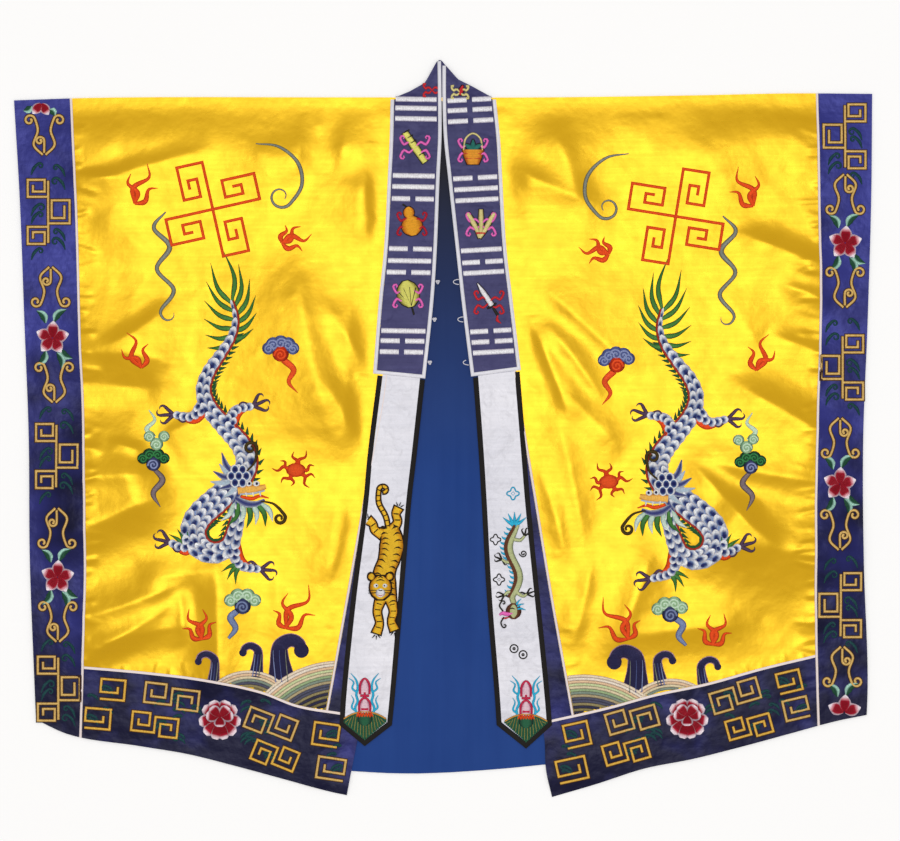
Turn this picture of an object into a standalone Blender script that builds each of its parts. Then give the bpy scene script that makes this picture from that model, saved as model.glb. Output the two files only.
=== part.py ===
"""A Taoist priest's robe, laid flat on its back, fronts and collar uppermost.

Metres, +Z up, +X to the right and +Y towards the collar. The origin is the bottom centre of the robe's box.
The robe is sewn from flat pieces: two yellow fronts with navy bands round them, a long navy collar bound in
white, two white streamers bound in black, and a plain yellow back with a blue lining. Every cloth piece is
worked out the same way: a grid of points between its outer, inner, top and bottom edges, laid at the height
of the cloth under it and given its wall.
"""
from bisect import bisect_right
from collections import namedtuple
from math import cos, hypot, pi, sin, tanh

import bmesh
import bpy
from mathutils import Matrix, Vector

# Walls of the pieces, and the gap that is left at a seam and between two layers
GAP = 0.0003
BACK_WALL = 0.0012
LINING_WALL = 0.0010
FRONT_WALL = 0.0012
COLLAR_WALL = 0.0022
NECK_WALL = 0.0027
STREAMER_WALL = 0.0013

# Heights of the undersides: the back lies on the ground, the lining on it, then the fronts, then the collar
LINING_BASE = BACK_WALL + GAP
OUTER_FRONT_BASE = BACK_WALL + GAP
FRONT_BASE = LINING_BASE + LINING_WALL + GAP
UPPER_BASE = FRONT_BASE + FRONT_WALL + GAP
NECK_FOLD_BASE = NECK_WALL + GAP
STREAMER_HANG_BASE = LINING_BASE + LINING_WALL + 0.0004

# Widths of what is sewn along the edges
SEAM_PIPING = 0.005
COLLAR_PIPING = 0.007
BINDING = 0.010
BINDING_CUT_BACK = 0.0025

# How far the hidden pieces stand back from what covers them
BACK_INSET = 0.005
LINING_UNDER_FRONT = 0.035
LINING_TOP = 0.655
STRIP_TOP = 0.600
BACK_HEM_DEPTH = 0.125

# How the cloth falls: lengths over which a layer comes down past the edge of the layer under it
SHOULDER_FALL = 0.030
SHOULDER_FALL_END = 0.012
HEM_DROOP_START = 0.028
HEM_DROOP_END = 0.060
LINING_STEP_START = 0.080
LINING_STEP_END = 0.020
STREAMER_HANG_START = 0.018
STREAMER_HANG_END = 0.048
COLLAR_CLEAR = 0.030
COLLAR_FADE = 0.090
EDGE_FADE = 0.060
EDGE_SHARE = 0.35

# The two sides of the robe at rising depths: free edge, and the seam between side band and front
Sides = namedtuple("Sides", "y left_edge left_seam right_seam right_edge")
SIDES = [
    Sides(0.661, -0.858, -0.744, 0.748, 0.858),
    Sides(0.457, -0.846, -0.734, 0.752, 0.856),
    Sides(0.217, -0.837, -0.727, 0.755, 0.849),
    Sides(-0.023, -0.828, -0.718, 0.747, 0.840),
    Sides(-0.263, -0.826, -0.715, 0.744, 0.841),
    Sides(-0.503, -0.817, -0.721, 0.748, 0.849),
    Sides(-0.623, -0.812, -0.725, 0.752, 0.845),
]

# The front opening: outer line of the navy edge strip, and the free inner edge of each front
Opening = namedtuple("Opening", "y left_strip left_edge right_edge right_strip")
OPENING = [
    Opening(0.662, -0.100, -0.050, 0.050, 0.101),
    Opening(0.357, -0.103, -0.060, 0.072, 0.112),
    Opening(0.103, -0.113, -0.070, 0.102, 0.145),
    Opening(-0.143, -0.157, -0.094, 0.130, 0.185),
    Opening(-0.343, -0.192, -0.126, 0.162, 0.218),
    Opening(-0.543, -0.228, -0.158, 0.190, 0.254),
    Opening(-0.623, -0.243, -0.171, 0.203, 0.268),
    Opening(-0.683, -0.254, -0.183, 0.206, 0.279),
    Opening(-0.737, -0.264, -0.193, 0.218, 0.289),
]

# The collar halves over their piping, from the shoulder line down
Collar = namedtuple("Collar", "y left_outer left_inner right_inner right_outer")
COLLAR = [
    Collar(0.737, -0.100, -0.0040, -0.0010, 0.101),
    Collar(0.658, -0.1045, -0.0030, -0.0010, 0.106),
    Collar(0.579, -0.1065, -0.0030, 0.0020, 0.114),
    Collar(0.507, -0.110, -0.0066, 0.0096, 0.118),
    Collar(0.357, -0.118, -0.0125, 0.0260, 0.127),
    Collar(0.257, -0.128, -0.0190, 0.0370, 0.139),
    Collar(0.105, -0.140, -0.0350, 0.0560, 0.157),
]

# The streamers over their binding, from the collar down to the corners of the point
Streamer = namedtuple("Streamer", "y left_outer left_inner right_inner right_outer")
STREAMERS = [
    Streamer(0.105, -0.1310, -0.0352, 0.0600, 0.1540),
    Streamer(-0.057, -0.1512, -0.0530, 0.0718, 0.1672),
    Streamer(-0.143, -0.1590, -0.0630, 0.0770, 0.1740),
    Streamer(-0.343, -0.1840, -0.0800, 0.0880, 0.1940),
    Streamer(-0.543, -0.2040, -0.0970, 0.1040, 0.2140),
    Streamer(-0.593, -0.2070, -0.1020, 0.1072, 0.2180),
]

# Lines that run across the robe: the shoulder fold, the hem, the seam above the hem band and the back's hem
Point = namedtuple("Point", "x y")
SHOULDER = [Point(*p) for p in (
    (-0.858, 0.656), (-0.700, 0.661), (-0.200, 0.662), (0.200, 0.662), (0.500, 0.666), (0.700, 0.670),
    (0.858, 0.669))]
LEFT_HEM = [Point(*p) for p in (
    (-0.812, -0.583), (-0.750, -0.611), (-0.606, -0.635), (-0.510, -0.651), (-0.414, -0.675),
    (-0.318, -0.701), (-0.222, -0.727), (-0.193, -0.733))]
RIGHT_HEM = [Point(*p) for p in (
    (0.218, -0.737), (0.306, -0.711), (0.402, -0.680), (0.498, -0.661), (0.594, -0.637), (0.690, -0.611),
    (0.786, -0.585), (0.845, -0.573))]
LEFT_HEM_SEAM = [Point(*p) for p in (
    (-0.716, -0.478), (-0.592, -0.489), (-0.454, -0.507), (-0.362, -0.528), (-0.294, -0.554),
    (-0.204, -0.570))]
RIGHT_HEM_SEAM = [Point(*p) for p in (
    (0.220, -0.584), (0.333, -0.558), (0.424, -0.533), (0.528, -0.511), (0.636, -0.481), (0.744, -0.455))]
BACK_HEM = [Point(*p) for p in (
    (-0.808, -0.574), (-0.720, -0.606), (-0.500, -0.642), (-0.300, -0.672), (-0.182, -0.685),
    (-0.060, -0.690), (0.112, -0.681), (0.203, -0.672), (0.500, -0.648), (0.720, -0.594), (0.838, -0.564))]

# Ends of the collar: the bottom line of each half, and the fold at the neck up to its peak
LEFT_COLLAR_END = [Point(-0.140, 0.110), Point(-0.035, 0.100)]
RIGHT_COLLAR_END = [Point(0.056, 0.104), Point(0.157, 0.117)]
PEAK = Point(-0.007, 0.737)
LEFT_NECK_FOLD = [Point(-0.104, 0.6575), Point(-0.095, 0.6580), Point(-0.0646, 0.6750), Point(-0.036, 0.691),
                  Point(-0.0128, 0.7330), PEAK]
RIGHT_NECK_FOLD = [Point(-0.002, 0.7350), Point(0.0016, 0.7302), Point(0.030, 0.6980), Point(0.062, 0.682),
                   Point(0.098, 0.6580), Point(0.106, 0.6575)]
LEFT_TIP = Point(-0.1564, -0.635)
RIGHT_TIP = Point(0.1736, -0.6414)

# Largest folds of the laid cloth. Each is a ridge, or a hollow where its height is negative, with its own reach
# on either hand of its run: the short flank is steep and the long one falls away gently
Fold = namedtuple("Fold", "start_x start_y end_x end_y left right height")
FRONT_FOLDS = [Fold(*f) for f in (
    (-0.860, 0.580, -0.300, 0.648, 0.055, 0.240, 0.009),
    (-0.800, 0.472, -0.440, 0.570, 0.045, 0.180, 0.006),
    (-0.280, 0.690, -0.308, 0.470, 0.060, 0.160, 0.007),
    (-0.186, 0.690, -0.206, 0.500, 0.120, 0.050, 0.006),
    (-0.160, 0.540, -0.152, 0.350, 0.045, 0.120, 0.006),
    (-0.300, 0.380, -0.200, -0.080, 0.110, 0.240, 0.014),
    (-0.244, 0.260, -0.110, 0.050, 0.120, 0.050, 0.006),
    (-0.250, 0.120, -0.150, -0.070, 0.060, 0.070, 0.005),
    (-0.710, 0.150, -0.520, 0.270, 0.045, 0.150, 0.005),
    (-0.800, 0.150, -0.490, 0.120, 0.180, 0.090, 0.010),
    (-0.790, 0.100, -0.540, 0.090, 0.050, 0.120, -0.006),
    (-0.800, -0.110, -0.540, -0.090, 0.150, 0.060, 0.008),
    (-0.820, -0.260, -0.500, -0.110, 0.180, 0.130, 0.017),
    (-0.800, -0.400, -0.480, -0.290, 0.120, 0.045, 0.008),
    (-0.800, -0.500, -0.500, -0.320, 0.120, 0.046, 0.008),
    (-0.760, -0.440, -0.480, -0.380, 0.120, 0.056, 0.007),
    (-0.454, -0.200, -0.448, -0.600, 0.140, 0.090, 0.015),
    (0.140, 0.640, 0.560, 0.648, 0.045, 0.160, 0.005),
    (0.400, 0.652, 0.880, 0.584, 0.060, 0.220, 0.010),
    (0.190, 0.660, 0.280, 0.440, 0.090, 0.100, 0.008),
    (0.080, 0.550, 0.360, 0.430, 0.050, 0.150, 0.007),
    (0.560, 0.400, 0.830, 0.290, 0.050, 0.140, 0.010),
    (0.180, 0.300, 0.400, 0.096, 0.140, 0.045, 0.006),
    (0.160, 0.240, 0.260, 0.000, 0.090, 0.045, 0.006),
    (0.540, 0.110, 0.840, -0.060, 0.080, 0.160, 0.014),
    (0.640, 0.190, 0.800, 0.130, 0.045, 0.100, 0.006),
    (0.460, -0.040, 0.840, -0.110, 0.150, 0.055, 0.009),
    (0.470, -0.050, 0.640, -0.230, 0.045, 0.120, 0.008),
    (0.560, -0.120, 0.680, -0.250, 0.050, 0.090, 0.007),
    (0.400, -0.220, 0.920, -0.262, 0.220, 0.210, 0.024),
    (0.430, -0.200, 0.320, -0.480, 0.080, 0.140, 0.010),
    (0.340, -0.420, 0.650, -0.390, 0.130, 0.080, 0.009),
)]
LINING_FOLDS = [Fold(*f) for f in (
    (0.012, 0.160, 0.028, -0.640, 0.024, 0.016, 0.004),
    (-0.030, -0.020, -0.040, -0.660, 0.020, 0.026, 0.003),
    (-0.074, -0.480, -0.110, -0.680, 0.024, 0.020, 0.003),
    (0.075, -0.420, 0.092, -0.670, 0.018, 0.026, 0.003),
)]
FOLD_TAPER = 0.35
HIGHEST_LIFT = 0.030

# Knot buttons on the left collar half and the loops facing them, by their height on the robe
FASTENER_HEIGHTS = (0.293, 0.218, 0.132)
KNOT_LENGTH = 0.011
KNOT_WIDTH = 0.010
KNOT_HEIGHT = 0.005
LOOP_REACH = 0.011
LOOP_WIDTH = 0.010
LOOP_CORD = 0.0018

# Cloth colours as base colour and roughness
SATIN_YELLOW = ((0.80, 0.49, 0.02), 0.38)
SATIN_NAVY = ((0.045, 0.040, 0.20), 0.42)
SATIN_WHITE = ((0.74, 0.74, 0.78), 0.45)
SATIN_BLACK = ((0.015, 0.014, 0.013), 0.50)
LINING_BLUE = ((0.03, 0.075, 0.25), 0.55)


def clear_scene():
    for item in list(bpy.data.objects):
        bpy.data.objects.remove(item, do_unlink=True)


def cloth_material(name, finish):
    """A plain cloth colour on the Principled shader."""
    colour, roughness = finish
    material = bpy.data.materials.new(name)
    material.use_nodes = True
    shader = material.node_tree.nodes["Principled BSDF"]
    shader.inputs["Base Color"].default_value = (*colour, 1.0)
    shader.inputs["Roughness"].default_value = roughness
    shader.inputs["Metallic"].default_value = 0.0
    return material


def smooth_step(t):
    """0 below 0, 1 above 1, and a soft S between."""
    t = min(max(t, 0.0), 1.0)
    return t * t * (3.0 - 2.0 * t)


def smooth_line(table, along, across):
    """A smooth curve through a table's rows, from one named column to another, straight past its ends."""
    rows = sorted((getattr(row, along), getattr(row, across)) for row in table)
    places = [row[0] for row in rows]
    values = [row[1] for row in rows]
    steps = [(values[i + 1] - values[i]) / (places[i + 1] - places[i]) for i in range(len(rows) - 1)]
    slopes = [steps[0]] + [(a + b) / 2 for a, b in zip(steps, steps[1:])] + [steps[-1]]

    def value_at(place):
        if place <= places[0]:
            return values[0] + slopes[0] * (place - places[0])
        if place >= places[-1]:
            return values[-1] + slopes[-1] * (place - places[-1])
        i = bisect_right(places, place) - 1
        span = places[i + 1] - places[i]
        t = (place - places[i]) / span
        return ((1 + 2 * t) * (1 - t) ** 2 * values[i] + t * (1 - t) ** 2 * span * slopes[i]
                + t * t * (3 - 2 * t) * values[i + 1] - t * t * (1 - t) * span * slopes[i + 1])

    return value_at


def straight_line(table):
    """Straight runs through a few points, as y for a given x."""
    rows = sorted(table)

    def value_at(x):
        i = min(max(bisect_right([row.x for row in rows], x) - 1, 0), len(rows) - 2)
        a, b = rows[i], rows[i + 1]
        return a.y + (b.y - a.y) * (x - a.x) / (b.x - a.x)

    return value_at


def moved(line, distance):
    """The same edge, moved across by a distance."""
    return lambda place: line(place) + distance


shoulder = smooth_line(SHOULDER, "x", "y")
back_hem = smooth_line(BACK_HEM, "x", "y")


class Side:
    """The edges of one half of the robe. Outwards is -1 on the left and +1 on the right."""

    def __init__(self, name, outwards, hem, hem_seam, collar_end, neck_fold, tip):
        self.name = name
        self.outwards = outwards
        self.edge = smooth_line(SIDES, "y", f"{name}_edge")
        self.seam = smooth_line(SIDES, "y", f"{name}_seam")
        self.strip = smooth_line(OPENING, "y", f"{name}_strip")
        self.opening = smooth_line(OPENING, "y", f"{name}_edge")
        self.collar_outer = smooth_line(COLLAR, "y", f"{name}_outer")
        self.collar_inner = smooth_line(COLLAR, "y", f"{name}_inner")
        self.streamer_outer = smooth_line(STREAMERS, "y", f"{name}_outer")
        self.streamer_inner = smooth_line(STREAMERS, "y", f"{name}_inner")
        self.hem = smooth_line(hem, "x", "y")
        self.hem_seam = smooth_line(hem_seam, "x", "y")
        self.collar_end = straight_line(collar_end)
        self.collar_end_corners = collar_end
        self.neck_fold = straight_line(neck_fold)
        self.tip = tip

    def out(self, line, distance):
        """An edge of this side, moved away from the robe's middle by a distance."""
        return moved(line, self.outwards * distance)

    def beyond(self, x, line_x):
        """How far a point lies outwards of an edge."""
        return self.outwards * (x - line_x)

    def cover(self, y):
        """The outer edge of what lies on the front at this height: the collar, then the streamer."""
        return self.collar_outer(y) if y > STREAMERS[0].y else self.streamer_outer(y)

    def cover_inner(self, y):
        return self.collar_inner(y) if y > STREAMERS[0].y else self.streamer_inner(y)


LEFT = Side("left", -1, LEFT_HEM, LEFT_HEM_SEAM, LEFT_COLLAR_END, LEFT_NECK_FOLD, LEFT_TIP)
RIGHT = Side("right", 1, RIGHT_HEM, RIGHT_HEM_SEAM, RIGHT_COLLAR_END, RIGHT_NECK_FOLD, RIGHT_TIP)


def fold_height(folds, x, y):
    """Sum of the ridges at a point, each fading towards its two ends, levelling off where many of them meet."""
    total = 0.0
    for fold in folds:
        run_x, run_y = fold.end_x - fold.start_x, fold.end_y - fold.start_y
        length = hypot(run_x, run_y)
        along = ((x - fold.start_x) * run_x + (y - fold.start_y) * run_y) / length ** 2
        if not 0.0 < along < 1.0:
            continue
        aside = ((y - fold.start_y) * run_x - (x - fold.start_x) * run_y) / length
        reach = fold.left if aside > 0 else fold.right
        if abs(aside) < reach:
            fade = smooth_step(along / FOLD_TAPER) * smooth_step((1.0 - along) / FOLD_TAPER)
            total += fold.height * fade * (1.0 - abs(aside) / reach) ** 2
    return HIGHEST_LIFT * tanh(max(total, 0.0) / HIGHEST_LIFT)


def front_height(side, x, y):
    """Underside of a front: over the lining near the middle, on the back further out, and down past its hem."""
    lining_edge = side.opening(y) + side.outwards * LINING_UNDER_FRONT
    outside = side.beyond(x, lining_edge)
    over_lining = smooth_step((LINING_STEP_START - outside) / (LINING_STEP_START - LINING_STEP_END))
    below_shoulder = shoulder(x) - y
    over_lining *= smooth_step((below_shoulder - SHOULDER_FALL_END) / SHOULDER_FALL)
    base = OUTER_FRONT_BASE + (FRONT_BASE - OUTER_FRONT_BASE) * over_lining
    past_back = back_hem(x) - y
    base *= 1.0 - smooth_step((past_back - HEM_DROOP_START) / (HEM_DROOP_END - HEM_DROOP_START))

    clear = smooth_step((side.beyond(x, side.cover(y)) - COLLAR_CLEAR) / (COLLAR_FADE - COLLAR_CLEAR))
    clear *= smooth_step((below_shoulder - SHOULDER_FALL_END) / SHOULDER_FALL)
    for inside in (side.beyond(side.edge(y), x), y - side.hem(x)):
        clear *= EDGE_SHARE + (1.0 - EDGE_SHARE) * smooth_step(inside / EDGE_FADE)
    return base + clear * fold_height(FRONT_FOLDS, x, y)


def lining_height(x, y):
    """Underside of the lining: flat under the fronts and streamers, with soft upright folds between them."""
    clear = 1.0
    for side in (LEFT, RIGHT):
        inside = -side.beyond(x, side.cover_inner(y))
        clear *= smooth_step(inside / COLLAR_FADE)
    return LINING_BASE + clear * fold_height(LINING_FOLDS, x, y)


def collar_height(side, x, y):
    """Underside of a collar half: flat on the front, and down to the fold at the neck."""
    below_fold = side.neck_fold(x) - y
    return NECK_FOLD_BASE + (UPPER_BASE - NECK_FOLD_BASE) * smooth_step(below_fold / SHOULDER_FALL)


def streamer_height(side, x, y):
    """Underside of a streamer: on the front, then down past the front's edge onto the lining."""
    past_edge = -side.beyond(x, side.opening(y))
    hang = smooth_step((past_edge - STREAMER_HANG_START) / (STREAMER_HANG_END - STREAMER_HANG_START))
    return UPPER_BASE + (STREAMER_HANG_BASE - UPPER_BASE) * hang


def add_piece(name, form, material):
    """One named object from a closed bmesh."""
    bmesh.ops.recalc_face_normals(form, faces=form.faces[:])
    mesh = bpy.data.meshes.new(name)
    form.to_mesh(mesh)
    form.free()
    mesh.materials.append(material)
    piece = bpy.data.objects.new(name, mesh)
    robe.objects.link(piece)
    return piece


def give_wall(form, wall):
    """Turns an open sheet into a wall, its upper face straight above its underside."""
    lifted = bmesh.ops.extrude_face_region(form, geom=form.faces[:])
    upper = [item for item in lifted["geom"] if isinstance(item, bmesh.types.BMVert)]
    bmesh.ops.translate(form, verts=upper, vec=(0.0, 0.0, wall))
    bmesh.ops.triangulate(form, faces=form.faces[:])


def cloth_panel(name, edges, cells, height, wall, material, shares=None):
    """A cloth piece between four edges: outer and inner give x for y, top and bottom give y for x."""
    outer, inner, top, bottom = edges
    across, down = cells
    form = bmesh.new()
    bmesh.ops.create_grid(form, x_segments=across, y_segments=down, size=1.0)
    for vert in form.verts:
        share = (vert.co.x + 1.0) / 2
        if shares:
            share = shares[round(share * across)]
        depth = (1.0 - vert.co.y) / 2
        x, y = outer(0.0), 0.0
        for _ in range(12):
            y = top(x) + (bottom(x) - top(x)) * depth
            x = outer(y) + (inner(y) - outer(y)) * share
        vert.co = (x, y, height(x, y))
    give_wall(form, wall)
    return add_piece(name, form, material)


def trim_strip(name, path, width, height, wall, material):
    """A narrow strip along a path of points, of one width, lying inwards (to the left) of it, mitred at corners."""
    points = [Vector((p[0], p[1])) for p in path]
    form = bmesh.new()
    bmesh.ops.create_grid(form, x_segments=1, y_segments=len(points) - 1, size=1.0)
    for vert in form.verts:
        i = round((vert.co.y + 1.0) / 2 * (len(points) - 1))
        before = (points[i] - points[max(i - 1, 0)]).normalized() if i else None
        after = (points[i + 1] - points[i]).normalized() if i < len(points) - 1 else None
        before, after = before or after, after or before
        aside = Vector((-before.y - after.y, before.x + after.x)).normalized()
        square = Vector((-after.y, after.x))
        place = points[i]
        if vert.co.x > 0:
            place = place + aside * (width / max(aside.dot(square), 0.2))
        vert.co = (place.x, place.y, height(place.x, place.y))
    give_wall(form, wall)
    return add_piece(name, form, material)


def run_along(line, start, end, count):
    """Points on an edge that gives x for y, evenly from one height to another."""
    heights = [start + (end - start) * i / count for i in range(count + 1)]
    return [(line(y), y) for y in heights]


def build_back(yellow, navy, blue):
    """The hidden back: panel, side bands and hem band lie edge to edge on the ground, the lining on them."""
    def on_ground(x, y):
        return 0.0

    below_shoulder = moved(shoulder, -GAP)
    hem_top = moved(back_hem, BACK_HEM_DEPTH)
    sides = (LEFT.out(LEFT.seam, -GAP), RIGHT.out(RIGHT.seam, -GAP))
    cloth_panel("back_panel", (*sides, below_shoulder, moved(hem_top, GAP)), (24, 22), on_ground, BACK_WALL,
                yellow)
    cloth_panel("back_hem_band", (*sides, hem_top, back_hem), (24, 2), on_ground, BACK_WALL, navy)
    for side in (LEFT, RIGHT):
        cloth_panel(f"back_side_band_{side.name}", (side.out(side.edge, -BACK_INSET), side.seam,
                                                    below_shoulder, back_hem), (2, 24), on_ground,
                    BACK_WALL, navy)
    lining_edges = (LEFT.out(LEFT.opening, LINING_UNDER_FRONT), RIGHT.out(RIGHT.opening, LINING_UNDER_FRONT),
                    lambda x: LINING_TOP, moved(back_hem, GAP))
    cloth_panel("back_lining", lining_edges, (16, 22), lining_height, LINING_WALL, blue)
    neck = bmesh.new()
    first, *between, last = LEFT_NECK_FOLD[1:] + RIGHT_NECK_FOLD[:-1]
    base_y = max(shoulder(first.x), shoulder(last.x)) + GAP
    outline = [Point(first.x, base_y), *between, Point(last.x, base_y)]
    neck.faces.new([neck.verts.new((p.x, p.y, 0.0)) for p in outline])
    give_wall(neck, NECK_WALL)
    add_piece("collar_back", neck, navy)


def build_front(side, yellow, navy, white):
    """One front: the yellow panel, with its side band, hem band and edge strip sewn on, and piping in the seams."""
    half = SEAM_PIPING / 2
    name = side.name

    def laid(x, y):
        return front_height(side, x, y)

    cloth_panel(f"side_band_{name}", (side.edge, side.out(side.seam, half + GAP), shoulder, side.hem),
                (3, 32), laid, FRONT_WALL, navy)
    cloth_panel(f"piping_side_{name}", (side.out(side.seam, half), side.out(side.seam, -half), shoulder,
                                        side.hem), (1, 36), laid, FRONT_WALL, white)
    seam_inside = side.out(side.seam, -half - GAP)
    cloth_panel(f"front_{name}", (seam_inside, side.out(side.strip, half + GAP), shoulder,
                                  moved(side.hem_seam, half + GAP)), (20, 34), laid, FRONT_WALL, yellow)
    cloth_panel(f"piping_hem_{name}", (seam_inside, side.opening, moved(side.hem_seam, half),
                                       moved(side.hem_seam, -half)), (26, 1), laid, FRONT_WALL, white)
    cloth_panel(f"hem_band_{name}", (seam_inside, side.opening, moved(side.hem_seam, -half - GAP), side.hem),
                (22, 5), laid, FRONT_WALL, navy)
    strip_edges = (lambda x: STRIP_TOP, moved(side.hem_seam, half + GAP))
    cloth_panel(f"piping_edge_{name}", (side.out(side.strip, half), side.out(side.strip, -half), *strip_edges),
                (1, 30), laid, FRONT_WALL, white)
    cloth_panel(f"front_edge_strip_{name}", (side.out(side.strip, -half - GAP), side.opening, *strip_edges),
                (2, 26), laid, FRONT_WALL, navy)


def build_collar(side, navy, white):
    """One collar half: a navy band folded at the neck, bound in white down both edges and round its end."""
    def laid(x, y):
        return collar_height(side, x, y)

    inset = COLLAR_PIPING + GAP
    band_edges = (side.out(side.collar_outer, -inset), side.out(side.collar_inner, inset), side.neck_fold,
                  moved(side.collar_end, inset))
    cloth_panel(f"collar_{side.name}", band_edges, (8, 18), laid, COLLAR_WALL, navy)
    outer_end, inner_end = side.collar_end_corners[::side.outwards * -1]
    top_outer = side.neck_fold(side.collar_outer(PEAK.y))
    top_inner = side.neck_fold(side.collar_inner(PEAK.y) + side.outwards * COLLAR_PIPING)
    path = (run_along(side.collar_outer, top_outer, outer_end.y, 18)
            + run_along(side.collar_inner, inner_end.y, top_inner, 22))
    path = path if side is LEFT else path[::-1]
    trim_strip(f"collar_piping_{side.name}", path, COLLAR_PIPING, laid, COLLAR_WALL, white)


def build_streamer(side, white, black):
    """One streamer: a long white strip ending in a point, bound in black round its free edges."""
    def laid(x, y):
        return streamer_height(side, x, y)

    corner_y = STREAMERS[-1].y
    outer_corner = Point(side.streamer_outer(corner_y), corner_y)
    inner_corner = Point(side.streamer_inner(corner_y), corner_y)
    tip_share = (side.tip.x - outer_corner.x) / (inner_corner.x - outer_corner.x)
    inset = BINDING + GAP
    point_line = straight_line([outer_corner, side.tip, inner_corner])
    tip_inset = inset * hypot(1.0, (corner_y - side.tip.y) / abs(side.tip.x - outer_corner.x))
    shares = (0.0, tip_share / 2, tip_share, (1 + tip_share) / 2, 1.0)
    top = moved(side.collar_end, -GAP)
    cloth_panel(f"streamer_{side.name}",
                (side.out(side.streamer_outer, -inset), side.out(side.streamer_inner, inset), top,
                 moved(point_line, tip_inset)), (4, 24), laid, STREAMER_WALL, white, shares)
    outer_top = top(side.streamer_outer(STREAMERS[0].y)) - BINDING_CUT_BACK
    inner_top = top(side.streamer_inner(STREAMERS[0].y)) - BINDING_CUT_BACK
    path = (run_along(side.streamer_outer, outer_top, corner_y, 22) + [tuple(side.tip)]
            + run_along(side.streamer_inner, corner_y, inner_top, 22))
    path = path if side is LEFT else path[::-1]
    trim_strip(f"streamer_binding_{side.name}", path, BINDING, laid, STREAMER_WALL, black)


def build_fasteners(white):
    """Knot buttons of white cord on the left half's piping, and thin cord loops on the right half's."""
    for number, y in enumerate(FASTENER_HEIGHTS, start=1):
        knot = bmesh.new()
        bmesh.ops.create_uvsphere(knot, u_segments=10, v_segments=6, radius=0.5)
        bmesh.ops.scale(knot, vec=(KNOT_LENGTH, KNOT_WIDTH, KNOT_HEIGHT), verts=knot.verts)
        middle = (LEFT.collar_inner(y) + GAP + KNOT_LENGTH / 2, y, UPPER_BASE + KNOT_HEIGHT / 2)
        bmesh.ops.transform(knot, matrix=Matrix.Translation(middle), verts=knot.verts)
        bmesh.ops.triangulate(knot, faces=knot.faces[:])
        add_piece(f"knot_button_{number}", knot, white)

        curve = bpy.data.curves.new(f"button_loop_{number}", "CURVE")
        curve.dimensions = "3D"
        curve.bevel_depth = LOOP_CORD / 2
        curve.bevel_resolution = 1
        curve.use_fill_caps = True
        spline = curve.splines.new("POLY")
        turns = 8
        spline.points.add(turns)
        start_x = RIGHT.collar_inner(y) - GAP - LOOP_CORD / 2
        for i, point in enumerate(spline.points):
            angle = pi * (i / turns - 0.5)
            point.co = (start_x - LOOP_REACH * cos(angle), y + LOOP_WIDTH / 2 * sin(angle),
                        UPPER_BASE + COLLAR_WALL / 2, 1.0)
        curve.materials.append(white)
        robe.objects.link(bpy.data.objects.new(f"button_loop_{number}", curve))


clear_scene()
robe = bpy.data.collections.new("taoist_robe")
bpy.context.scene.collection.children.link(robe)

yellow = cloth_material("yellow_satin", SATIN_YELLOW)
navy = cloth_material("navy_satin", SATIN_NAVY)
white = cloth_material("white_satin", SATIN_WHITE)
black = cloth_material("black_binding", SATIN_BLACK)
blue = cloth_material("blue_lining", LINING_BLUE)

build_back(yellow, navy, blue)
for half in (LEFT, RIGHT):
    build_front(half, yellow, navy, white)
    build_collar(half, navy, white)
    build_streamer(half, white, black)
build_fasteners(white)
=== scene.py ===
"""A Taoist priest's robe laid flat: its satin, lining, piping, binding and machine embroidery.

Metres, +Z up, +X to the right and +Y towards the collar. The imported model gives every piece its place. The
sections follow the order in which the robe is sewn and laid out: the hidden back, the lining, the fronts with
their bands, the collar, the streamers, then the embroidery on each of them.
"""
from collections import namedtuple
from math import atan2, ceil, cos, hypot, pi, radians, sin

import bmesh
import bpy
import numpy as np
from mathutils import Color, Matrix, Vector, noise
from mathutils.bvhtree import BVHTree


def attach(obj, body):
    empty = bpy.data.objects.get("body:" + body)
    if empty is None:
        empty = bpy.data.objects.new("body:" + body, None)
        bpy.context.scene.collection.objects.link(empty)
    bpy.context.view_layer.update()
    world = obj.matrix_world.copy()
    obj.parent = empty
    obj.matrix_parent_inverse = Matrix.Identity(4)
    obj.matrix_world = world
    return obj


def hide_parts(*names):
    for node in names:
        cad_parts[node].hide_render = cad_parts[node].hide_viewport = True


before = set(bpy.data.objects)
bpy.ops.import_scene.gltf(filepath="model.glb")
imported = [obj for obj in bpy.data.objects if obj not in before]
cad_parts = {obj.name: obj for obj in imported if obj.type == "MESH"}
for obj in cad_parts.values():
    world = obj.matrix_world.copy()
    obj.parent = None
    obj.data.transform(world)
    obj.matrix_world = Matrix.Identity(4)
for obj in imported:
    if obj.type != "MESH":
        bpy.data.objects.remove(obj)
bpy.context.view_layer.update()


# The hidden back. A plain yellow satin panel with navy satin bands at its sides and hem, cut as the fronts
# are, and the rear of the navy collar above it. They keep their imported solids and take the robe's satins.
class Signal:
    """A changing number or colour in a finish. Sums on it add the Math nodes that work them out."""

    def __init__(self, finish, socket):
        self.finish = finish
        self.socket = socket

    def worked(self, operation, *terms):
        return self.finish.node("ShaderNodeMath", {"operation": operation}, dict(enumerate(terms)))

    def __add__(self, other):
        return self.worked("ADD", self, other)

    def __sub__(self, other):
        return self.worked("SUBTRACT", self, other)

    def __rsub__(self, other):
        return self.worked("SUBTRACT", other, self)

    def __mul__(self, other):
        return self.worked("MULTIPLY", self, other)

    def __pow__(self, other):
        return self.worked("POWER", self, other)

    __radd__ = __add__
    __rmul__ = __mul__


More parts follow.
